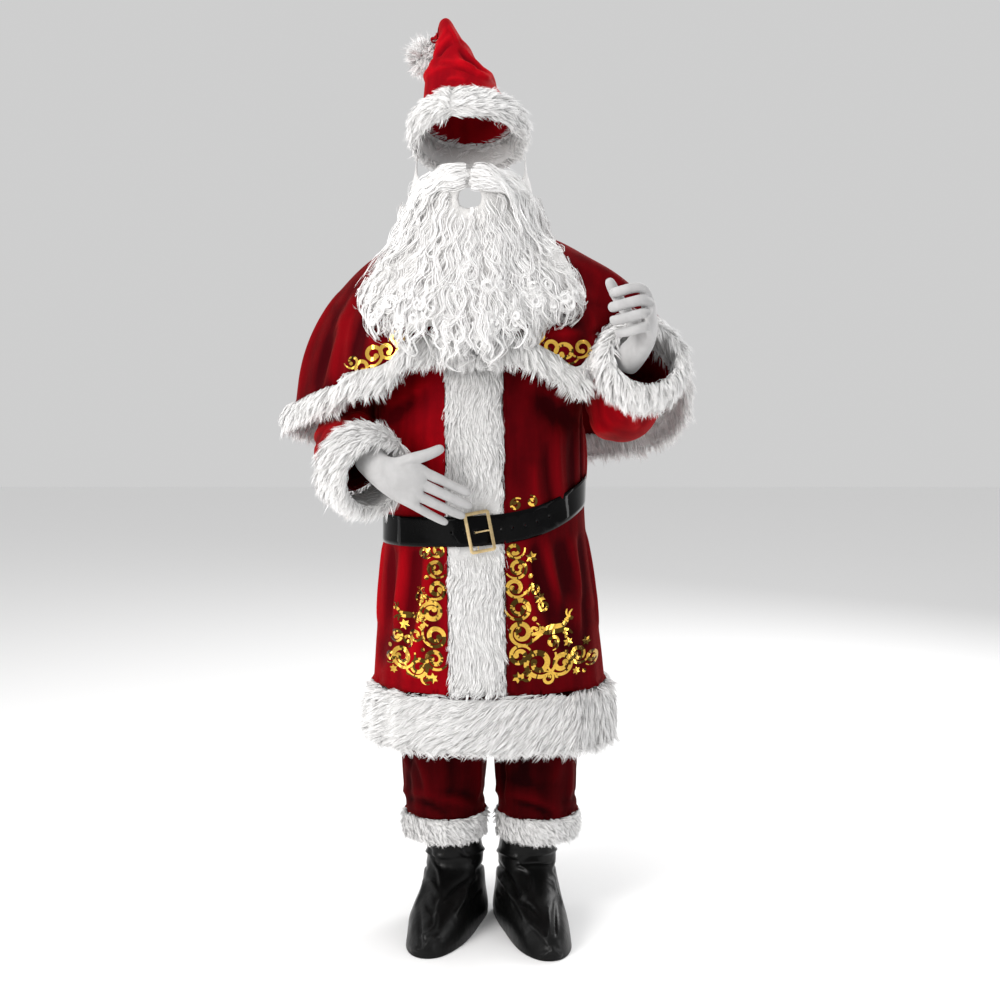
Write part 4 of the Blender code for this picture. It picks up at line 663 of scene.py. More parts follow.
# The trousers: two wide legs of the same velvet, gathered at the waist under the coat. The cloth breaks
# above the fur at each hem.
TROUSER_FOLDS = {
    "front": (
        (-0.172, 0.372, -0.120, 0.226, 0.012, 0.010, 0.0060),
        (-0.150, 0.360, -0.128, 0.250, 0.006, 0.010, -0.0058),
        (-0.128, 0.350, -0.100, 0.262, 0.006, 0.008, 0.0048),
        (-0.142, 0.262, -0.010, 0.236, 0.016, 0.009, 0.0056),
        (-0.146, 0.246, -0.060, 0.226, 0.012, 0.007, -0.0050),
        (-0.090, 0.262, -0.004, 0.254, 0.014, 0.009, -0.0046),
        (-0.060, 0.360, -0.046, 0.280, 0.004, 0.012, -0.0034),
        (0.050, 0.264, 0.166, 0.226, 0.014, 0.009, 0.0052),
        (0.070, 0.250, 0.150, 0.224, 0.008, 0.007, -0.0046),
        (0.040, 0.290, 0.130, 0.276, 0.012, 0.010, -0.0042),
        (0.186, 0.372, 0.194, 0.240, 0.004, 0.010, -0.0044),
        (0.160, 0.366, 0.152, 0.290, 0.004, 0.010, 0.0038),
        (0.090, 0.372, 0.080, 0.290, 0.004, 0.012, -0.0034),
    ),
    "left": (
        (-0.056, 0.370, -0.044, 0.236, 0.008, 0.010, 0.0052),
        (-0.020, 0.366, 0.000, 0.250, 0.006, 0.010, -0.0050),
        (0.030, 0.370, 0.044, 0.240, -0.006, 0.010, 0.0048),
        (-0.060, 0.246, 0.050, 0.232, 0.010, 0.008, -0.0042),
    ),
    "right": (
        (-0.050, 0.366, -0.036, 0.240, 0.008, 0.010, -0.0052),
        (-0.010, 0.370, 0.004, 0.250, 0.006, 0.010, 0.0050),
        (0.040, 0.364, 0.050, 0.240, -0.006, 0.010, -0.0048),
        (-0.050, 0.250, 0.056, 0.236, 0.010, 0.008, 0.0042),
    ),
    "back": (
        (-0.150, 0.372, -0.130, 0.240, 0.008, 0.011, -0.0056),
        (-0.104, 0.370, -0.090, 0.250, 0.006, 0.010, 0.0052),
        (-0.056, 0.366, -0.046, 0.246, 0.006, 0.010, -0.0050),
        (-0.130, 0.250, -0.020, 0.234, 0.012, 0.008, 0.0046),
        (0.056, 0.370, 0.066, 0.240, -0.006, 0.011, -0.0054),
        (0.104, 0.366, 0.110, 0.250, -0.006, 0.010, 0.0052),
        (0.156, 0.370, 0.160, 0.246, -0.006, 0.010, -0.0050),
        (0.060, 0.250, 0.180, 0.234, 0.012, 0.008, 0.0046),
    ),
}


UNDER_COAT = 0.42  # the height from which the coat hides the trousers


def under_coat(points):
    """Up under the coat the trousers lie flat, so that they stay clear of it."""
    return above(points, UNDER_COAT, 0.08)


for side in ("left", "right"):
    leg = cloth_piece(
        f"trouser_{side}", f"trouser_{side}_velvet", TROUSER_FOLDS, shaded_trouser_velvet, "velvet",
        still=under_coat, seed=7, furs=(f"trouser_fur_{side}",),
    )


# The hat: a cone of thinner velvet, worn tipped back, whose tip folds over behind. Its creases run up from
# the band and across the front.
HAT_FOLDS = {
    "front": (
        (-0.106, 1.684, 0.026, 1.682, 0.022, 0.0060, 0.0059),
        (-0.076, 1.716, -0.004, 1.698, 0.004, 0.0050, 0.0049),
        (-0.070, 1.706, 0.000, 1.688, 0.004, 0.0060, -0.0049),
        (-0.044, 1.728, 0.024, 1.684, -0.010, 0.0050, 0.0051),
        (-0.020, 1.744, 0.030, 1.688, -0.006, 0.0055, 0.0051),
        (-0.034, 1.740, 0.022, 1.694, -0.008, 0.0055, -0.0049),
        (-0.088, 1.726, -0.044, 1.766, 0.008, 0.0050, 0.0049),
        (-0.078, 1.726, -0.046, 1.752, 0.006, 0.0050, -0.0046),
        (-0.092, 1.700, -0.058, 1.786, 0.010, 0.0060, 0.0041),
        (-0.060, 1.676, -0.020, 1.672, 0.004, 0.0045, 0.0041),
        (-0.056, 1.790, -0.034, 1.756, 0.004, 0.0055, 0.0041),
    ),
    "left": (
        (-0.020, 1.700, 0.050, 1.660, 0.010, 0.0060, 0.0054),
        (-0.010, 1.730, 0.050, 1.690, 0.008, 0.0060, -0.0051),
        (0.000, 1.760, 0.050, 1.720, 0.006, 0.0055, 0.0049),
    ),
    "right": (
        (-0.020, 1.700, 0.060, 1.670, 0.010, 0.0060, 0.0054),
        (-0.016, 1.730, 0.056, 1.700, 0.008, 0.0060, -0.0051),
        (0.000, 1.760, 0.056, 1.736, 0.006, 0.0055, 0.0049),
    ),
    "back": (
        (-0.100, 1.640, 0.040, 1.650, 0.016, 0.0070, 0.0059),
        (-0.090, 1.680, 0.020, 1.690, 0.014, 0.0065, -0.0057),
        (-0.080, 1.720, -0.010, 1.726, 0.010, 0.0060, 0.0054),
    ),
}
hat = cloth_piece(
    "hat", "hat_velvet", HAT_FOLDS, hat_velvet, "velvet", seed=9, unevenness=0.0010, bend=75.0,
    furs=("hat_band_fur",),
)
NARROWS_FROM, NARROWS_OVER, NARROWS_BY = 1.69, 0.115, 0.42  # the height, the rise to the tip, and the share
FOLD_OVER_Y = 0.062  # behind this the tip folds over
points = points_of(hat)
peak = above(points, NARROWS_FROM, NARROWS_OVER)
middle = -0.036 - 0.030 * peak
narrowed = 1 - NARROWS_BY * peak * (points[:, 1] < FOLD_OVER_Y)
points[:, 0] = middle + (points[:, 0] - middle) * narrowed
set_points(hat, points)


# White fur: long synthetic pile on a knitted back, cut in strips, folded over the cloth's edge and sewn
# down. Each strip is a soft base with its pile on it, as a piece of its own: tapered strands, rooted all
# over the base where nothing lies against it, that lie one way and draw together in tufts.
def unit(vectors):
    return vectors / np.maximum(np.linalg.norm(vectors, axis=-1, keepdims=True), 1e-9)


def make_pile_colour_group():
    """A strand's colour: painted shade at its root, pale at its tip, and no two strands quite alike."""
    group, given, result = node_group(
        "pile_colour",
        (("Root", "NodeSocketColor", (0.5, 0.5, 0.5, 1)), ("Tip", "NodeSocketColor", (0.9, 0.9, 0.9, 1))),
        (("Colour", "NodeSocketColor"),),
    )
    shade = group.nodes.new("ShaderNodeAttribute")
    shade.attribute_name = "shade"
    blend = group.nodes.new("ShaderNodeMix")
    blend.data_type = "RGBA"
    wire(
        group,
        (shade.outputs["Fac"], blend.inputs["Factor"]),
        (given.outputs["Root"], blend.inputs["A"]),
        (given.outputs["Tip"], blend.inputs["B"]),
        (blend.outputs["Result"], result.inputs["Colour"]),
    )
    return group


pile_colour = make_pile_colour_group()


def make_strand_material(name, root, tip, roughness):
    made = plain_material(name, tip, roughness, Specular_IOR_Level=0.25)
    colour = group_in(made, pile_colour, Root=(*root, 1), Tip=(*tip, 1))
    shader = made.node_tree.nodes["Principled BSDF"]
    wire(made.node_tree, (colour.outputs["Colour"], shader.inputs["Base Color"]))
    return made


def make_fur_base(name, deep, bright):
    """The pile's depths, seen between its tufts, in a grey that is painted shade."""
    made = plain_material(name, bright, 0.9)
    return napped(made, deep, bright, patch=60.0, grain=500.0, depth=0.002, strength=0.8)


HOLLOW = 0.7  # the widest hollow, across which a fur piece faces its own other side
# The pile's root colour is painted shade, darker than its tips.
fur_pile = make_strand_material("white_fur_pile", (0.53, 0.525, 0.52), (0.88, 0.875, 0.87), 0.66)
fur_base = make_fur_base("white_fur_base", (0.48, 0.475, 0.47), (0.62, 0.615, 0.61))


def roots_on(node, count, rng, reach, inside):
    """Points spread over a piece and their normals, none where another piece lies within reach of it. inside
    is the share of points kept on the side that faces the piece's own hollow."""
    piece = nodes[node]
    points, corners = points_of(piece), triangles_of(piece)
    a, b, c = (points[corners[:, k]] for k in range(3))
    area = np.linalg.norm(np.cross(b - a, c - a), axis=1)
    near = tree_of([nodes[name] for name in nodes if name != node])
    own = tree_of([piece])
    vertex_normals = normals_of(piece)
    spots, normals, kept = [], [], 0
    while kept < count:
        pick = rng.choice(len(corners), count, p=area / area.sum())
        u, v = rng.random((2, count))
        u, v = np.where(u + v > 1, 1 - u, u)[:, None], np.where(u + v > 1, 1 - v, v)[:, None]
        place = a[pick] * (1 - u - v) + b[pick] * u + c[pick] * v
        first, second, third = (vertex_normals[corners[pick, k]] for k in range(3))
        normal = unit(first * (1 - u - v) + second * u + third * v)
        chance = rng.random(count)
        for spot, out, luck in zip(place, normal, chance):
            start, way = Vector(spot + out * 0.0008), Vector(out)
            free = near.ray_cast(start, way, reach)[0] is None
            if free and (luck < inside or own.ray_cast(start, way, HOLLOW)[0] is None):
                spots.append(spot)
                normals.append(out)
        kept = len(spots)
    return np.array(spots[:count]), np.array(normals[:count])


def strand_mesh(name, paths, sides, widths, shades):
    """Flat tapered strands. paths is strands x points x 3, and sides says which way each is broad."""
    strands, steps = paths.shape[:2]
    half = sides.reshape(strands, -1, 3) * widths[:, :, None] / 2
    left, right = paths - half, paths + half
    spots = np.concatenate((np.stack((left, right), 2)[:, :-1].reshape(strands, -1, 3), paths[:, -1:]), 1)
    each = 2 * (steps - 1) + 1
    quads = [(2 * k, 2 * k + 1, 2 * k + 3, 2 * k + 2) for k in range(steps - 2)]
    tip = (each - 3, each - 2, each - 1)
    base = (np.arange(strands) * each)[:, None]
    loops = np.concatenate([base + np.array(face)[None] for face in (*quads, tip)], 1).ravel()
    sizes = np.tile([4] * len(quads) + [3], strands)
    mesh = bpy.data.meshes.new(name)
    mesh.vertices.add(strands * each)
    mesh.vertices.foreach_set("co", spots.astype(np.float32).ravel())
    mesh.loops.add(len(loops))
    mesh.loops.foreach_set("vertex_index", loops.astype(np.int32))
    mesh.polygons.add(len(sizes))
    mesh.polygons.foreach_set("loop_start", (np.cumsum(sizes) - sizes).astype(np.int32))
    mesh.update(calc_edges=True)
    shade = mesh.attributes.new("shade", "FLOAT", "POINT")
    both = np.repeat(shades[:, :-1], 2, axis=1)
    shade.data.foreach_set("value", np.concatenate((both, shades[:, -1:]), 1).astype(np.float32).ravel())
    return placed(name, mesh)


def nearest_of(points, centres):
    tree = KDTree(len(centres))
    for k, centre in enumerate(centres):
        tree.insert(centre, k)
    tree.balance()
    return np.array([tree.find(point)[1] for point in points])


def whole(node):
    """All of a piece's surface, in four-sided faces where they join up."""
    return in_fours(joined(node), 50, 100)


BENDS = (0.0, 0.48, 1.0)  # the shares of its length at which a strand bends
TAPER = (1.0, 0.82, 0.0)  # how broad it is there
PALENESS = (0.15, 0.70, 1.0)  # and how pale, from its root's colour, which is painted shade, to its tip's
CLEARANCE = 0.001
STRAY = 0.10  # how far single strands turn from their tuft
INSIDE_SHARE = 0.12  # of the pile is kept on the side that faces a piece's own hollow


def kept_clear(paths, near):
    """Strands cut short where they would run into another piece, and which of them are left."""
    share = np.ones(len(paths))
    for k, (root, tip) in enumerate(zip(paths[:, 0], paths[:, -1])):
        reach = np.linalg.norm(tip - root)
        met = near.ray_cast(Vector(root), Vector((tip - root) / reach), reach + CLEARANCE)[3]
        if met is not None:
            share[k] = max(met - CLEARANCE, 0) / reach
    left = share > 0.3
    return (paths[:, :1] + (paths - paths[:, :1]) * share[:, None, None])[left], left


def sunk(spots, normals, depth, near):
    """Points moved inward, but not beside another piece, so that no gap opens along the seam."""
    free = np.array([near.find_nearest(Vector(spot))[3] for spot in spots])
    return spots - normals * (depth * soft_step((free - 0.001) / 0.006))[:, None]


def furred(node, name, count, length, flow, seed, lift, droop, spread, width, tuft, pull, sink, reach):
    """A fur piece: its base, and its pile as strands that follow the flow. lift is how far they stand off,
    droop how far they hang, and spread how far the tufts turn from the flow. tuft is the strands in one, and
    pull how far they draw together. sink is how deep the base lies, and reach how near it bears no pile."""
    base = rounded(piece_from(f"{name}_base", whole(node)), 1)
    beside = tree_of([nodes[other] for other in nodes if other not in (node, "beard")])
    set_points(base, sunk(points_of(base), normals_of(base), sink, beside))
    dress(base, fur_base, "white_fur", node)

    rng = np.random.default_rng(seed)
    roots, normals = roots_on(node, count, rng, reach, INSIDE_SHARE)
    roots = sunk(roots, normals, sink, beside)
    way = flow(roots, normals)
    way = unit(way - normals * (way * normals).sum(1)[:, None])
    tufts = len(roots) // tuft
    mine = nearest_of(roots, roots[:tufts])
    way = unit(way + rng.normal(0, spread, (tufts, 3))[mine] + rng.normal(0, STRAY, (len(roots), 3)))
    long = (length * rng.uniform(0.72, 1.12, len(roots)) * rng.uniform(0.85, 1.15, tufts)[mine])[:, None]
    rise = (lift * rng.uniform(0.7, 1.3, tufts)[mine] * rng.uniform(0.8, 1.2, len(roots)))[:, None]
    hang = np.array((0, 0, -droop))
    paths = np.stack([
        roots + long * (way * s + normals * rise * (s - 0.45 * s * s) + hang * s * s) for s in BENDS
    ], 1)
    for k, s in enumerate(BENDS):
        paths[:, k] += (paths[mine, k] - paths[:, k]) * pull * s ** 1.3
    paths, left = kept_clear(paths, beside)
    roots, normals, mine = roots[left], normals[left], mine[left]

    roll = rng.uniform(-0.8, 0.8, len(roots))[:, None]
    across = unit(np.cross(paths[:, -1] - paths[:, 0], normals))
    sides = unit(across * np.cos(roll) + normals * np.sin(roll))
    widths = width * rng.uniform(0.7, 1.25, len(roots))[:, None] * np.array(TAPER)
    tint = rng.uniform(-0.10, 0.10, len(roots))[:, None] + rng.uniform(-0.10, 0.06, tufts)[mine][:, None]
    shades = np.clip(np.array(PALENESS) + tint, 0, 1)
    dress(strand_mesh(f"{name}_pile", paths, sides, widths, shades), fur_pile, "white_fur")


def down_placket(points, normals):
    """Down the front, in waves."""
    heights = points[:, 2] - FLOOR
    sway = 0.30 * np.sin(heights * 34.0) + 0.22 * np.sin(heights * 97.0 + points[:, 0] * 50)
    return np.stack((sway, np.zeros(len(points)), np.full(len(points), -1.0)), 1)


def round_way(normals):
    """The level way round the body, anticlockwise seen from above."""
    return unit(np.stack((-normals[:, 1], normals[:, 0], np.zeros(len(normals))), 1))


def along_hem(points, normals):
    """Brushed round to the wearer's right, and steeper downwards towards the left side."""
    steep = 0.42 + 0.60 * soft_step((points[:, 0] + 0.02) / 0.16) + 0.16 * np.sin(points[:, 0] * 41.0)
    hang = soft_step((points[:, 0] - 0.18) / 0.06)
    return -round_way(normals) * (1 - 0.9 * hang)[:, None] - np.array((0, 0, 1.0)) * steep[:, None]


def round_cape(points, normals):
    """Down, and outward from the middle of the front."""
    outward = np.clip(points[:, 0] / 0.12, -1, 1) * 0.55
    return round_way(normals) * outward[:, None] + np.array((0, 0, -1.0))


def round_band(points, normals):
    """Swept round the head, up towards the wearer's left at the top and down at the sides."""
    rise = 0.45 - 1.5 * np.abs(normals[:, 0]) ** 1.5 - 0.8 * soft_step(-normals[:, 2] * 1.5)
    turn = np.where(points[:, 0] < -0.05, -0.35, 0.9)
    return round_way(normals) * turn[:, None] + np.array((0, 0, 1.0)) * rise[:, None]


def down_ankle(points, normals):
    """Brushed round the leg and down."""
    turn = 0.9 + 0.3 * np.sin(points[:, 2] * 90 + points[:, 0] * 70)
    return round_way(normals) * turn[:, None] + np.array((0, 0, -0.7))


def from_hand(word):
    """Away from the hand and down, so that the pile stands out round the wrist."""
    cuff = points_of(nodes[f"cuff_fur_{word}"]).mean(0)
    hand = points_of(nodes[f"glove_{word}"]).mean(0)
    axis = unit(hand - cuff)

    def flow(points, normals):
        out = points - cuff
        out = unit(out - axis * (out @ axis)[:, None])
        return out * 0.3 - axis * 0.55 + np.array((0, 0, -0.75))

    return flow


def any_way(points, normals):
    x, y, z = points.T
    return np.stack((np.sin(y * 200), np.cos(x * 170), np.sin(z * 150) - 0.5), 1)


FURS = (  # node, name, strands, length, flow, seed, lift, droop, spread, width, tuft, pull, sink, reach
    ("coat_placket_fur", "coat_placket", 18000, 0.019, down_placket, 11,
     0.16, 0.15, 0.14, 0.0012, 8, 0.42, 0.004, 0.006),
    ("coat_hem_fur", "coat_hem", 28000, 0.029, along_hem, 12,
     0.18, 0.16, 0.14, 0.0013, 9, 0.42, 0.004, 0.020),
    ("cape_fur", "cape", 27000, 0.026, round_cape, 13,
     0.28, 0.20, 0.20, 0.0013, 9, 0.45, 0.004, 0.020),
    ("cuff_fur_right", "cuff_right", 13500, 0.026, from_hand("right"), 14,
     0.34, 0.20, 0.22, 0.0013, 9, 0.45, 0.004, 0.020),
    ("cuff_fur_left", "cuff_left", 13500, 0.026, from_hand("left"), 15,
     0.34, 0.20, 0.22, 0.0013, 9, 0.45, 0.004, 0.020),
    ("hat_band_fur", "hat_band", 15500, 0.024, round_band, 16,
     0.24, 0.10, 0.18, 0.0013, 9, 0.42, 0.004, 0.020),
    ("hat_pompom", "hat_pompom", 6000, 0.018, any_way, 17,
     1.6, 0.10, 0.6, 0.0012, 5, 0.3, 0.014, 0.020),
    ("trouser_fur_right", "trouser_cuff_right", 7500, 0.013, down_ankle, 18,
     0.30, 0.15, 0.22, 0.0012, 7, 0.4, 0.003, 0.020),
    ("trouser_fur_left", "trouser_cuff_left", 7500, 0.013, down_ankle, 19,
     0.30, 0.15, 0.22, 0.0012, 7, 0.4, 0.003, 0.020),
)
for row in FURS:
    furred(*row)


# The belt: a strap of black patent leathercloth, glossy all over, with holes punched for the prong and a
# fine welt along each edge.
SHARP = 32.0  # an edge that bends more, in degrees, is one of the strap's own


def crisp(node, name, levels):
    """A piece with its flat facets rounded off along its length and its sharp edges kept."""
    work = whole(node)
    crease = work.edges.layers.float.get("crease_edge") or work.edges.layers.float.new("crease_edge")
    for edge in work.edges:
        if len(edge.link_faces) == 2 and edge.calc_face_angle() > math.radians(SHARP):
            edge[crease] = 1.0
    return rounded(piece_from(name, work), levels)


def make_leathercloth(name, colour, roughness, grain, depth, **settings):
    """Coated cloth: a smooth skin over a base that shows through as a slight grain."""
    made = plain_material(name, colour, roughness, **settings)
    # On the boot covers these two colours also give painted shade in the creases and a painted highlight on
    # the ridges.
    bright = [channel * 2.2 for channel in colour]
    return napped(made, colour, bright, patch=30.0, grain=grain, depth=depth, strength=0.6)


patent = make_leathercloth(
    "black_patent", (0.0012, 0.0012, 0.0013), 0.06, 70.0, 0.0003, Specular_IOR_Level=0.03, Coat_Weight=1.0,
    Coat_Roughness=0.03, Coat_IOR=1.10,
)
belt = dress(crisp("belt", "belt_strap", 2), patent, "patent_belt", "belt")


# The buckle: a frame and a prong of cast metal, plated the colour of pale gold, duller in patches and with
# its edges softened. The prong lies across the frame, through the strap.
def make_worn_metal(name, bright, dull):
    made = plain_material(name, bright, 0.3, Metallic=1.0)
    return napped(made, dull, bright, patch=120.0, grain=700.0, depth=0.0003, strength=0.4)


buckle_metal = make_worn_metal("aged_gold_plate", (0.80, 0.62, 0.34), (0.36, 0.26, 0.13))
for node in ("buckle_frame", "buckle_prong"):
    part = piece_from(f"{node}_cast", whole(node))
    edge = part.modifiers.new("worn_edges", "BEVEL")
    edge.width = 0.0005
    edge.segments = 2
    edge.limit_method = "ANGLE"
    dress(settle(part), buckle_metal, "buckle_metal", node)


# The boot covers: black leathercloth drawn over the wearer's own shoes and up inside the trouser legs. They
# crumple at the ankle, where the stiff cloth breaks into sharp ridges.
BOOT_FOLDS = {
    "front": (
        (-0.092, 0.122, -0.071, 0.080, 0.004, 0.0034, 0.0052),
        (-0.106, 0.088, -0.074, 0.080, 0.005, 0.0030, 0.0052),
        (-0.105, 0.074, -0.073, 0.068, -0.005, 0.0030, -0.0050),
        (-0.071, 0.080, -0.078, 0.050, -0.005, 0.0032, 0.0055),
        (-0.078, 0.052, -0.112, 0.036, 0.003, 0.0032, 0.0052),
        (-0.116, 0.064, -0.110, 0.012, 0.003, 0.0036, -0.0052),
        (-0.067, 0.078, -0.018, 0.096, 0.004, 0.0036, -0.0050),
        (-0.026, 0.078, -0.044, 0.058, 0.003, 0.0034, 0.0046),
        (-0.102, 0.019, -0.070, 0.034, 0.004, 0.0036, 0.0044),
        (-0.128, 0.006, -0.098, 0.016, 0.003, 0.0034, 0.0040),
        (-0.100, 0.150, -0.080, 0.112, -0.003, 0.0036, -0.0048),
        (-0.040, 0.148, -0.010, 0.118, 0.004, 0.0040, 0.0048),
        (0.034, 0.084, 0.096, 0.050, 0.006, 0.0038, 0.0060),
        (0.096, 0.050, 0.138, 0.028, 0.003, 0.0036, 0.0058),
        (0.138, 0.028, 0.162, 0.004, -0.002, 0.0034, 0.0050),
        (0.032, 0.110, 0.084, 0.074, 0.005, 0.0036, -0.0056),
        (0.078, 0.118, 0.105, 0.104, 0.003, 0.0030, 0.0052),
        (0.105, 0.104, 0.103, 0.085, 0.003, 0.0030, 0.0052),
        (0.103, 0.085, 0.084, 0.073, -0.003, 0.0030, 0.0052),
        (0.084, 0.072, 0.119, 0.060, 0.004, 0.0030, -0.0052),
        (0.136, 0.070, 0.134, 0.038, 0.003, 0.0032, 0.0048),
        (0.152, 0.074, 0.152, 0.038, -0.003, 0.0032, -0.0046),
        (0.087, 0.122, 0.152, 0.114, 0.004, 0.0038, -0.0046),
        (0.120, 0.002, 0.147, 0.018, 0.003, 0.0034, 0.0042),
    ),
    "left": (
        (-0.120, 0.060, -0.040, 0.090, 0.008, 0.0040, 0.0047),
        (-0.110, 0.040, -0.030, 0.056, 0.008, 0.0040, -0.0044),
        (-0.060, 0.136, 0.040, 0.120, 0.008, 0.0040, 0.0044),
        (-0.040, 0.100, 0.050, 0.090, 0.006, 0.0040, -0.0044),
    ),
    "right": (
        (-0.120, 0.056, -0.040, 0.084, 0.008, 0.0040, 0.0047),
        (-0.100, 0.036, -0.020, 0.050, 0.008, 0.0040, -0.0044),
        (-0.060, 0.132, 0.040, 0.116, 0.008, 0.0040, 0.0044),
        (-0.030, 0.100, 0.050, 0.084, 0.006, 0.0040, -0.0044),
    ),
    "back": (
        (-0.100, 0.130, -0.020, 0.116, 0.008, 0.0040, 0.0047),
        (-0.090, 0.096, -0.010, 0.084, 0.006, 0.0040, -0.0044),
        (0.050, 0.124, 0.130, 0.134, 0.008, 0.0040, 0.0047),
        (0.060, 0.086, 0.130, 0.096, 0.006, 0.0040, -0.0044),
    ),
}


UNDER_TROUSERS, DRAWN_IN = 0.205, 0.008  # the height from which a cover is inside its trouser leg


def tucked(points):
    """Inside the trouser leg the cover lies smooth and is drawn in, so that it stays clear of the cloth."""
    return above(points, UNDER_TROUSERS, 0.03)


boot_cloth = make_leathercloth(
    "black_boot_cloth", (0.0018, 0.0018, 0.0018), 0.33, 60.0, 0.0016, Specular_IOR_Level=0.15,
)
for side in ("left", "right"):
    boot = cloth_piece(
        f"boot_cover_{side}", f"boot_{side}", BOOT_FOLDS, boot_cloth, "boot_leathercloth", still=tucked,
        seed=21, unevenness=0.0014,
    )
    points = points_of(boot)
    outward = unit((points - points.mean(0)) * (1, 1, 0))
    set_points(boot, points - outward * DRAWN_IN * tucked(points)[:, None])


# The gloves: white knitted cotton, drawn smooth over the backs of the hands and creased at each joint.
GLOVE_CREASES = {
    "front": (
        (-0.168, 0.938, -0.150, 0.900, 0.003, 0.0024, -0.0012),
        (-0.186, 0.946, -0.176, 0.896, 0.004, 0.0028, -0.0014),
        (-0.140, 0.944, -0.116, 0.926, 0.003, 0.0022, -0.0012),
        (-0.128, 0.930, -0.100, 0.880, 0.003, 0.0026, 0.0008),
        (-0.104, 0.926, -0.100, 0.912, 0.001, 0.0016, -0.0010),
        (-0.070, 0.912, -0.064, 0.898, 0.001, 0.0016, -0.0010),
        (-0.066, 0.890, -0.060, 0.876, 0.001, 0.0016, -0.0010),
        (-0.074, 0.868, -0.068, 0.856, 0.001, 0.0016, -0.0010),
        (-0.038, 0.902, -0.034, 0.888, 0.001, 0.0015, -0.0008),
        (-0.038, 0.880, -0.034, 0.866, 0.001, 0.0015, -0.0008),
        (0.300, 1.160, 0.328, 1.176, 0.003, 0.0024, -0.0014),
        (0.296, 1.146, 0.322, 1.160, 0.003, 0.0024, 0.0010),
        (0.286, 1.222, 0.302, 1.200, 0.002, 0.0022, -0.0012),
        (0.292, 1.256, 0.300, 1.242, 0.001, 0.0018, -0.0010),
        (0.292, 1.232, 0.300, 1.218, 0.001, 0.0018, -0.0010),
        (0.270, 1.262, 0.276, 1.250, 0.001, 0.0016, -0.0009),
        (0.268, 1.236, 0.274, 1.224, 0.001, 0.0016, -0.0009),
        (0.268, 1.212, 0.274, 1.200, 0.001, 0.0016, -0.0009),
    ),
}


def make_cotton(name, deep, bright):
    made = plain_material(name, bright, 0.85, Sheen_Weight=0.2)
    return napped(made, deep, bright, patch=26.0, grain=1500.0, depth=0.0004, strength=0.6)


cotton = make_cotton("white_cotton", (0.33, 0.325, 0.325), (0.48, 0.475, 0.475))
for side in ("left", "right"):
    glove = rounded(piece_from(f"glove_{side}_knit", whole(f"glove_{side}")), 2)
    points, normals = points_of(glove), normals_of(glove)
    set_points(glove, points + normals * fold_push(points, normals, GLOVE_CREASES)[:, None])
    dress(glove, cotton, "glove_cotton", f"glove_{side}")


# The false beard: wefts of wavy white synthetic hair on a shaped backing, hooked over the ears. Long locks
# hang from the cheeks and chin and end in round curls, and the moustache parts under the nose.
BEARD_MIDDLE = -0.014
MOUTH = {"sides": (-0.050, 0.018), "heights": (1.424, 1.496)}  # the opening, and the lip above it
# The hair's root colour is painted shade, darker than its tips.
HAIR = make_strand_material("white_hair", (0.62, 0.61, 0.605), (0.93, 0.925, 0.92), 0.45)
beard_back = make_fur_base("beard_backing", (0.55, 0.54, 0.53), (0.76, 0.75, 0.74))


LIP_HEIGHT, LIP_HALF = 1.436, 0.105  # where the moustache starts, and how far it goes to each side


def fanned(points):
    """The way the hair lies: down, fanned out from the chin, and off the lip to both sides."""
    x, height = points[:, 0] - BEARD_MIDDLE, points[:, 2] - FLOOR
    lip = soft_step((height - LIP_HEIGHT) / 0.02) * (1 - soft_step((np.abs(x) - LIP_HALF) / 0.03))
    fan = np.clip(x * 2.6, -0.42, 0.42) * soft_step((1.47 - height) / 0.1)
    sideways = fan * (1 - lip) + np.sign(x) * 1.3 * lip
    fall = -1.0 * (1 - lip) - (0.08 + 4.2 * np.abs(x)) * lip
    return np.stack((sideways, np.zeros(len(points)), fall), 1)


def combed(tree, starts, steps, pace, wave, lift, rng, curl=None, curled_from=None):
    """Guide paths that lie over the beard's form and wave as they go. Where curl is given, each path winds
    round by that angle at every step from the height curled_from down."""
    phase = rng.uniform(0, 6.3, len(starts))
    pitch = rng.uniform(0.85, 1.25, len(starts))
    turned = np.zeros(len(starts))
    now, path, normals = starts.copy(), [], []
    for k in range(steps):
        share = k / (steps - 1)
        flat = np.array([tree.find_nearest(Vector(spot))[0] for spot in now])
        out = unit(now - flat + unit(flat * (1, 1, 0)) * 0.02)
        below = now[:, 2] < flat[:, 2] - 0.002
        spots = np.where(below[:, None], now, flat + out * (lift * (0.35 + share))[:, None])
        path.append(spots)
        normals.append(out)
        way = fanned(spots)
        way = unit(way - out * (way * out).sum(1)[:, None])
        across = np.cross(way, out)
        sway = wave * np.cos(phase + k * pitch) * (0.55 + 0.6 * share)
        if curl is not None:
            winding = (spots[:, 2] - FLOOR < curled_from) | (turned != 0)
            turned += curl * winding * (1 + 0.03 * k)
            sway = sway * (turned == 0)
        wound = way * np.cos(turned)[:, None] + across * np.sin(turned)[:, None]
        now = spots + (wound + across * sway[:, None]) * pace[:, None]
    return np.stack(path, 1), np.stack(normals, 1)


def cut_short(paths, reach):
    """Each path as far as its reach, a share of its length, with as many points as before."""
    last = paths.shape[2] - 1
    place = reach * last * np.linspace(0, 1, last + 1)
    low = np.minimum(place.astype(int), last - 1)[..., None]
    part = place[..., None] - low
    here = np.take_along_axis(paths, low, 2)
    ahead = np.take_along_axis(paths, low + 1, 2)
    return here * (1 - part) + ahead * part


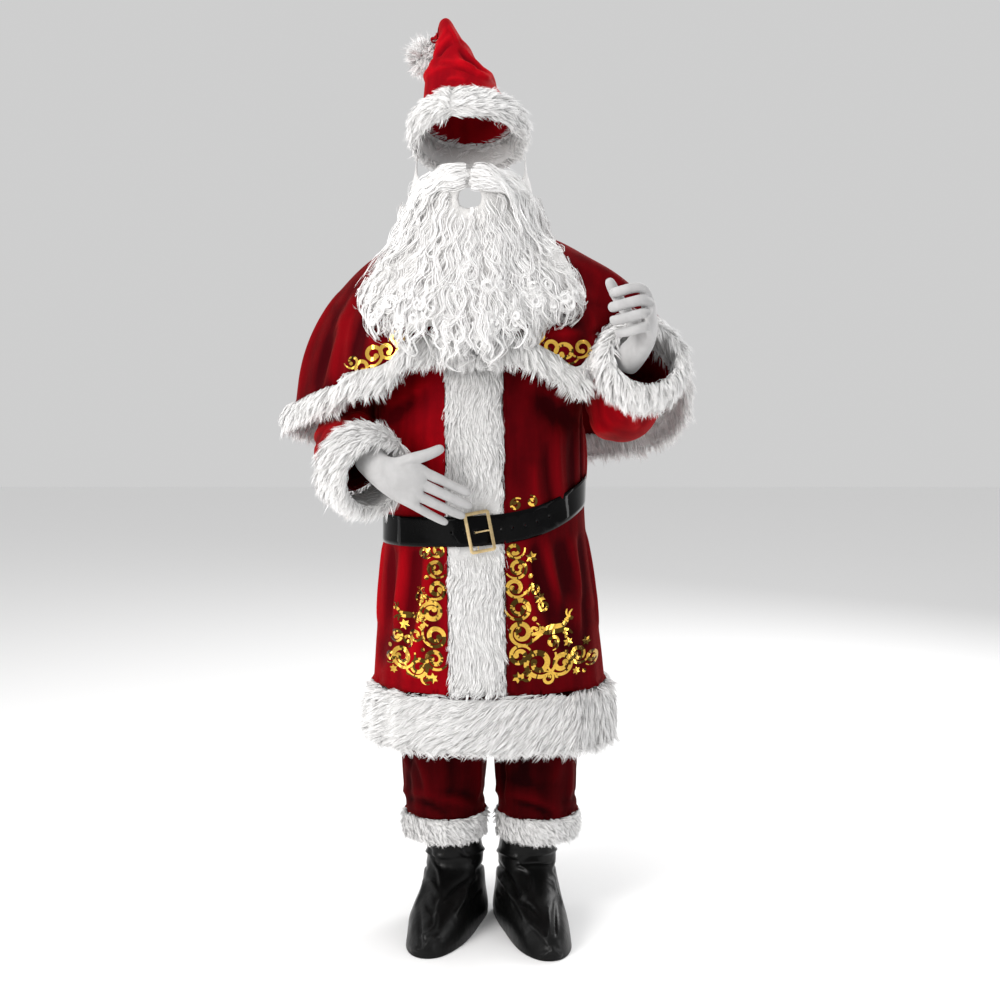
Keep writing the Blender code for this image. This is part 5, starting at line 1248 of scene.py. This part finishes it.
def locks(name, guides, normals, each, spread, width, rng):
    """Each guide's lock: a bundle of strands side by side that draws together at its tip."""
    count, steps = guides.shape[:2]
    along = unit(np.gradient(guides, axis=1))
    across = unit(np.cross(along, normals))
    share = np.linspace(0, 1, steps)
    lie, rise = rng.normal(0, spread, (2, count, each))
    narrow = 1 - 0.62 * share ** 1.4 + 0.25 * np.sin(share * 9.0)
    beside = across[:, None] * (lie[:, :, None] * narrow)[..., None]
    above = normals[:, None] * (np.abs(rise)[:, :, None] * narrow * 0.6)[..., None]
    paths = cut_short(guides[:, None] + beside + above, rng.uniform(0.70, 1.0, (count, each))[:, :, None])
    strands = paths.reshape(count * each, steps, 3)
    roll = rng.uniform(-0.9, 0.9, count * each)[:, None, None]
    broad = np.repeat(across, each, axis=0) * np.cos(roll) + np.repeat(normals, each, axis=0) * np.sin(roll)
    widths = width * rng.uniform(0.7, 1.3, (len(strands), 1)) * np.append(np.ones(steps - 1), 0)
    widths[:, -3:-1] *= (0.85, 0.6)
    tint = np.repeat(rng.uniform(-0.22, 0.10, count), each)[:, None]
    tint = tint + rng.uniform(-0.12, 0.12, (len(strands), 1))
    # Each strand is darker towards its root, as painted shade.
    shades = np.clip(0.45 + 0.5 * share + tint, 0, 1)
    dress(strand_mesh(name, strands, broad, widths, shades), HAIR, "beard_hair")


CURL_STEPS, CURL_STRAND = 15, 0.0009


def curls(name, middles, normals, sizes, each, rng):
    """Round curls lying on the beard: each is a bundle of strands wound once or twice and drawn in."""
    count = len(middles)
    share = np.linspace(0, 1, CURL_STEPS)
    first = unit(np.cross(normals, (0.0, 0.0, 1.0)))
    second = np.cross(normals, first)
    turns = rng.uniform(0.9, 1.5, count) * rng.choice((-1, 1), count)
    begin = rng.uniform(0, 6.3, count)
    uneven = rng.uniform(-0.25, 0.25, (count, each, 1))
    angle = (begin[:, None, None] + 2 * math.pi * turns[:, None, None] * share + uneven)[..., None]
    size = sizes[:, None, None] * (1 - 0.58 * share) * (1 + np.linspace(-0.50, 0.30, each)[:, None])
    squash = rng.uniform(0.65, 1.0, (count, 1, 1, 1))
    stand = (0.001 + 0.006 * share) + rng.uniform(-0.002, 0.002, (count, each, 1))
    ring = np.cos(angle) * first[:, None, None] * squash + np.sin(angle) * second[:, None, None]
    paths = middles[:, None, None] + ring * size[..., None] + normals[:, None, None] * stand[..., None]
    roll = rng.uniform(-0.5, 0.5, (count, each, 1, 1))
    broad = ring * np.cos(roll) + normals[:, None, None] * np.sin(roll)
    strands = paths.reshape(-1, CURL_STEPS, 3)
    broad = broad.reshape(-1, CURL_STEPS, 3)
    widths = CURL_STRAND * rng.uniform(0.6, 1.4, (len(strands), 1)) * np.append(np.ones(CURL_STEPS - 1), 0)
    tint = np.repeat(rng.uniform(-0.15, 0.12, count), each)[:, None]
    tint = tint + rng.uniform(-0.1, 0.1, (len(strands), 1))
    # Each curl is darker where it lies low on the beard, as painted shade.
    shades = np.clip(0.62 + 0.3 * share + tint, 0, 1)
    dress(strand_mesh(name, strands, broad, widths, shades), HAIR, "beard_hair")


def some(chosen, most):
    """The first of the chosen places."""
    return np.nonzero(chosen)[0][:most]


def within(values, low, high):
    return (values > low) & (values < high)


backing = rounded(piece_from("beard_backing", whole("beard")), 1)
set_points(backing, points_of(backing) - normals_of(backing) * 0.005)
dress(backing, beard_back, "beard_hair", "beard")

beard_rng = np.random.default_rng(31)
beard_tree = tree_of([nodes["beard"]])
spots, faces_out = roots_on("beard", 5200, beard_rng, reach=0.004, inside=0.0)
outer = (faces_out * unit(spots * (1, 1, 0))).sum(1) > 0.25
spots, faces_out = spots[outer], faces_out[outer]
heights = spots[:, 2] - FLOOR
off_middle = np.abs(spots[:, 0] - BEARD_MIDDLE)

# Long locks, from the cheeks and chin: straight at first, then wound up.
by_mouth = within(spots[:, 0], *MOUTH["sides"]) & within(heights, *MOUTH["heights"])
by_ear = (off_middle > 0.095) & (heights > 1.455)
often = beard_rng.random(len(spots)) < np.clip((heights - 1.17) / 0.13, 0.2, 1.0)
hanging = some(within(heights, 1.205, 1.50) & often & ~by_mouth & ~by_ear, 540)
count = len(hanging)
steps = 18
pace = beard_rng.uniform(0.0080, 0.0112, count)
hand = np.where(spots[hanging, 0] > BEARD_MIDDLE, 1, -1)
hand = hand * np.where(beard_rng.random(count) < 0.35, -1, 1)
tight = pace / beard_rng.uniform(0.014, 0.027, count) * hand
straight = pace * steps * beard_rng.uniform(0.50, 0.80, count)
lift = beard_rng.uniform(0.001, 0.010, count)
guides, outs = combed(
    beard_tree, spots[hanging], steps, pace, 0.95, lift, beard_rng, curl=tight,
    curled_from=heights[hanging] - straight,
)
locks("beard_locks", guides, outs, 8, 0.0042, 0.0011, beard_rng)

# The moustache, off the lip to both sides.
lip = some((heights > 1.462) & (off_middle < 0.075), 110)
pace = np.full(len(lip), 0.0085)
lift = beard_rng.uniform(0.006, 0.012, len(lip))
guides, outs = combed(beard_tree, spots[lip], 13, pace, 0.55, lift, beard_rng)
locks("moustache_locks", guides, outs, 10, 0.0035, 0.0012, beard_rng)

# Locks low on the chin, which fill the beard's point.
chin = some((np.abs(spots[:, 0]) < 0.026) & within(heights, 1.195, 1.235), 18)
pace = beard_rng.uniform(0.0055, 0.0075, len(chin))
lift = beard_rng.uniform(0.006, 0.016, len(chin))
guides, outs = combed(beard_tree, spots[chin], 12, pace, 0.9, lift, beard_rng)
locks("chin_locks", guides, outs, 9, 0.0048, 0.0011, beard_rng)

# Round curls on the lower half.
often = beard_rng.random(len(spots)) < np.clip((1.34 - heights) / 0.10, 0, 1)
low = some((heights < 1.285) & often, 40)
sizes = beard_rng.uniform(0.010, 0.018, len(low))
curls("beard_curls", spots[low] + faces_out[low] * 0.005, faces_out[low], sizes, 9, beard_rng)


# The foil print: gold foil pressed on the velvet beside the placket, above the hem and on the cape's fronts,
# in scrolls, six-pointed stars, dots and a leaping deer. Bands of it carry a painted dark reflection, in
# patches, more of them on the coat's.
PLACKET_EDGES = {"left": 0.058, "right": -0.063}
SCROLLS = {  # out from the placket, height, radius, where it starts in degrees, turns, hand, stroke
    "left": (
        (0.016, 0.861, 0.009, 200, 1.1, 1, 0.0045), (0.047, 0.866, 0.008, 330, 1.0, -1, 0.0042),
        (0.014, 0.771, 0.013, 210, 1.2, -1, 0.0052), (0.020, 0.737, 0.015, 30, 1.35, 1, 0.0056),
        (0.015, 0.700, 0.015, 170, 1.3, -1, 0.0060), (0.023, 0.660, 0.019, 350, 1.4, 1, 0.0068),
        (0.026, 0.613, 0.019, 140, 1.4, -1, 0.0070), (0.023, 0.569, 0.016, 190, 1.3, 1, 0.0066),
        (0.060, 0.553, 0.024, 190, 1.45, -1, 0.0080), (0.105, 0.550, 0.018, 10, 1.35, 1, 0.0070),
        (0.139, 0.562, 0.014, 170, 1.3, -1, 0.0058), (0.166, 0.553, 0.011, 30, 1.2, 1, 0.0050),
        (0.052, 0.694, 0.009, 80, 1.0, -1, 0.0042), (0.070, 0.662, 0.009, 250, 1.1, 1, 0.0042),
        (0.053, 0.618, 0.009, 300, 1.0, -1, 0.0042), (0.088, 0.592, 0.010, 60, 1.1, 1, 0.0046),
        (0.038, 0.528, 0.009, 190, 1.0, 1, 0.0042), (0.078, 0.523, 0.010, 330, 1.1, -1, 0.0044),
    ),
    "right": (
        (0.012, 0.770, 0.011, 330, 1.2, 1, 0.0048), (0.037, 0.765, 0.009, 200, 1.1, -1, 0.0044),
        (0.016, 0.735, 0.014, 150, 1.35, -1, 0.0054), (0.014, 0.694, 0.015, 20, 1.3, 1, 0.0060),
        (0.024, 0.651, 0.018, 60, 1.4, -1, 0.0068), (0.017, 0.604, 0.018, 340, 1.4, 1, 0.0068),
        (0.018, 0.560, 0.016, 160, 1.3, -1, 0.0064), (0.050, 0.543, 0.017, 350, 1.4, 1, 0.0064),
        (0.083, 0.560, 0.018, 190, 1.4, -1, 0.0064), (0.094, 0.600, 0.010, 20, 1.2, 1, 0.0050),
        (0.046, 0.676, 0.009, 100, 1.1, 1, 0.0042), (0.055, 0.606, 0.011, 280, 1.1, -1, 0.0046),
        (0.072, 0.592, 0.008, 60, 1.0, 1, 0.0040), (0.045, 0.643, 0.008, 220, 1.0, -1, 0.0038),
        (0.036, 0.521, 0.008, 170, 1.0, -1, 0.0040), (0.106, 0.556, 0.009, 30, 1.1, 1, 0.0042),
    ),
}
STARS = {  # out from the placket, height, radius, turn in degrees
    "left": (
        (0.046, 0.757, 0.0120, 4), (0.062, 0.678, 0.0120, 12), (0.020, 0.527, 0.0115, 0),
        (0.118, 0.588, 0.0100, 8), (0.155, 0.585, 0.0095, 20), (0.134, 0.532, 0.0080, 5),
    ),
    "right": (
        (0.030, 0.786, 0.0085, 10), (0.045, 0.693, 0.0100, 6), (0.078, 0.622, 0.0110, 15),
        (0.022, 0.523, 0.0105, 3), (0.100, 0.533, 0.0085, 12),
    ),
}
DOTS = {  # out from the placket, height, radius
    "left": (
        (0.044, 0.722, 0.0042), (0.046, 0.703, 0.0052), (0.052, 0.640, 0.0046), (0.048, 0.598, 0.0040),
        (0.096, 0.527, 0.0048), (0.115, 0.571, 0.0036), (0.150, 0.529, 0.0040), (0.034, 0.690, 0.0030),
    ),
    "right": (
        (0.034, 0.718, 0.0044), (0.048, 0.666, 0.0040), (0.042, 0.624, 0.0048), (0.042, 0.577, 0.0040),
        (0.070, 0.531, 0.0042), (0.108, 0.577, 0.0038), (0.028, 0.673, 0.0030),
    ),
}
DEER = {  # the strokes of a leaping deer, in lengths of its body: their points and how broad they are
    "body": (((0.0, 0.02), (0.35, 0.05), (0.7, 0.06), (1.0, 0.14)), 0.46),
    "neck": (((0.94, 0.16), (1.08, 0.36), (1.20, 0.54)), 0.24),
    "head": (((1.14, 0.54), (1.30, 0.55), (1.44, 0.48)), 0.20),
    "first_antler": (((1.18, 0.60), (1.10, 0.78), (1.14, 0.98)), 0.085),
    "second_antler": (((1.24, 0.62), (1.28, 0.80), (1.40, 0.94)), 0.085),
    "first_foreleg": (((0.92, 0.02), (1.22, -0.06), (1.42, -0.26)), 0.13),
    "second_foreleg": (((0.84, -0.02), (1.10, -0.22), (1.08, -0.44)), 0.13),
    "first_hind_leg": (((0.08, -0.02), (-0.22, -0.16), (-0.46, -0.40)), 0.15),
    "second_hind_leg": (((0.04, 0.04), (-0.28, -0.02), (-0.58, -0.16)), 0.14),
    "tail": (((0.00, 0.12), (-0.10, 0.24)), 0.12),
}
DEER_PLACES = {  # where its rump is, and its body's length
    "left": (0.070, 0.614, 0.040),
    "right": (0.062, 0.640, 0.026),
}
DEER_STEPS = 9  # along each of its strokes
CAPE_SCROLLS = (  # x, height, radius, where it starts in degrees, turns, hand, stroke
    (-0.150, 1.176, 0.013, 60, 1.1, 1, 0.0050), (-0.168, 1.154, 0.014, 240, 1.1, -1, 0.0056),
    (-0.194, 1.146, 0.016, 30, 1.15, 1, 0.0059), (-0.214, 1.122, 0.014, 200, 1.1, -1, 0.0053),
    (-0.236, 1.132, 0.011, 330, 1.0, 1, 0.0043), (0.116, 1.178, 0.012, 120, 1.1, -1, 0.0046),
    (0.138, 1.160, 0.015, 300, 1.15, 1, 0.0056), (0.166, 1.150, 0.018, 170, 1.2, -1, 0.0059),
    (0.198, 1.158, 0.015, 350, 1.1, 1, 0.0053), (0.222, 1.142, 0.012, 190, 1.0, -1, 0.0046),
)


FILM = 0.0003


def make_foil_material(name):
    made = plain_material(name, (0.90, 0.55, 0.10), 0.20, Metallic=1.0)
    # Its colour runs from a painted dark reflection, at shade 0, to the gold.
    colour = group_in(made, pile_colour, Root=(0.030, 0.015, 0.005, 1), Tip=(0.95, 0.58, 0.10, 1))
    nap = group_in(made, pile_nap, Patch_Size=220.0, Grain_Size=260.0)
    return finished(made, colour.outputs["Colour"], nap.outputs["Height"], 0.0003, 0.4)


def stroke(points, breadths):
    """A drawn line as quads: its points across and along, and its faces."""
    points, breadths = np.asarray(points, float), np.asarray(breadths, float)
    way = unit(np.gradient(points, axis=0))
    across = np.stack((-way[:, 1], way[:, 0]), 1)
    spots = [points + across * (side * breadths / 2)[:, None] for side in (-1, 0, 1)]
    count = len(points)
    faces = [
        (row * count + k, row * count + k + 1, (row + 1) * count + k + 1, (row + 1) * count + k)
        for row in (0, 1) for k in range(count - 1)
    ]
    return np.concatenate(spots), faces, [k // 2 for _ in (0, 1) for k in range(count - 1)]


def fan(middle, rim):
    faces = [(0, k + 1, (k + 1) % len(rim) + 1) for k in range(len(rim))]
    return np.concatenate(((middle,), rim)), faces, [0] * len(rim)


def scroll_shapes(x, height, radius, begin, turns, hand, breadth):
    """An open scroll with a tail that sweeps off it and thins away, closed on a round drop."""
    share = np.linspace(-0.52, 1, max(int(radius * turns * 2 * math.pi * 0.9 / 0.0018), 10))
    angle = math.radians(begin) + hand * 2 * math.pi * 0.74 * turns * share
    reach = radius * (1 - 0.60 * np.maximum(share, 0) + 2.1 * np.minimum(share, 0) ** 2)
    line = np.stack((x + reach * np.cos(angle), height + reach * np.sin(angle)), 1)
    swell = np.sin(np.clip(share * 0.60 + 0.36, 0, 1) * math.pi * 0.84) ** 0.8
    return [stroke(line, breadth * 1.16 * (0.22 + 0.94 * swell)), dot_shape(*line[-1], breadth * 0.84)]


def dot_shape(x, height, radius):
    turn = np.linspace(0, 2 * math.pi, 13)[:-1]
    return fan((x, height), np.stack((x + radius * np.cos(turn), height + radius * np.sin(turn)), 1))


def star_shape(x, height, radius, turned):
    turn = np.radians(np.arange(12) * 30 + 90 + turned)
    reach = np.where(np.arange(12) % 2 == 0, radius, radius * 0.58)
    return fan((x, height), np.stack((x + reach * np.cos(turn), height + reach * np.sin(turn)), 1))


def dark_reflection_patches(x, height):
    """Patches a few centimetres across, from -1 to 1, in which the foil gets a painted dark reflection."""
    first = np.sin(x * 150 + 1.3 + 1.9 * np.sin(height * 96))
    second = np.sin(height * 132 + 0.7 + 2.1 * np.sin(x * 88))
    return first * second


def deer_shapes(x, height, size, hand):
    shapes = []
    for line, breadth in DEER.values():
        line = np.array(line) * size
        steps = np.linspace(0, len(line) - 1, DEER_STEPS)
        smooth = np.stack([np.interp(steps, range(len(line)), line[:, k]) for k in (0, 1)], 1)
        thick = breadth * size * (1 - 0.35 * np.linspace(-1, 1, DEER_STEPS) ** 4)
        shapes.append(stroke(smooth * (hand, 1) + (x, height), thick))
    return shapes


def foil_on(name, under, shapes, dark, rng):
    """Presses flat shapes on to the front of the cloth, as one piece of foil. dark is how much of it carries
    a painted dark reflection."""
    tree = tree_of(under)
    spots, faces, shades = [], [], []
    for flat, loops, bands in shapes:
        hits = [tree.ray_cast(Vector((x, -1.0, height + FLOOR)), Vector((0, 1, 0))) for x, height in flat]
        if any(hit[0] is None for hit in hits):
            continue
        first = len(spots)
        spots += [hit[0] + (hit[1] if hit[1].y < 0 else -hit[1]) * 0.0007 for hit in hits]
        faces += [[first + k for k in loop] for loop in loops]
        middles = np.array([np.mean([flat[k] for k in loop], axis=0) for loop in loops])
        uneven = rng.uniform(-0.35, 0.35, max(bands) + 1)[bands]
        reflects_dark = dark_reflection_patches(*middles.T) + uneven > 1 - 2 * dark
        shades += list(np.where(reflects_dark, 0.06, rng.uniform(0.84, 1.0)))
    mesh = bpy.data.meshes.new(name)
    mesh.from_pydata(spots, [], faces)
    shade = mesh.attributes.new("shade", "FLOAT", "FACE")
    shade.data.foreach_set("value", shades)
    made = placed(name, mesh)
    film = made.modifiers.new("film", "SOLIDIFY")
    film.thickness = FILM
    film.offset = 0
    dress(settle(made), foil, "gold_foil").data.shade_flat()


foil = make_foil_material("gold_foil")
foil_rng = np.random.default_rng(41)
for side, hand in (("left", 1), ("right", -1)):
    edge = PLACKET_EDGES[side]
    shapes = [shape for out, *rest in SCROLLS[side] for shape in scroll_shapes(edge + hand * out, *rest)]
    shapes += [star_shape(edge + hand * out, *rest) for out, *rest in STARS[side]]
    shapes += [dot_shape(edge + hand * out, *rest) for out, *rest in DOTS[side]]
    out, height, size = DEER_PLACES[side]
    shapes += deer_shapes(edge + hand * out, height, size, hand)
    foil_on(f"foil_coat_{side}", coat[:2], shapes, 0.42, foil_rng)
cape_shapes = [shape for row in CAPE_SCROLLS for shape in scroll_shapes(*row)]
foil_on("foil_cape", [cape], cape_shapes, 0.12, foil_rng)


sizes = {"cad": [list(v) for v in cad_box], "visual": [list(v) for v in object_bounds()]}
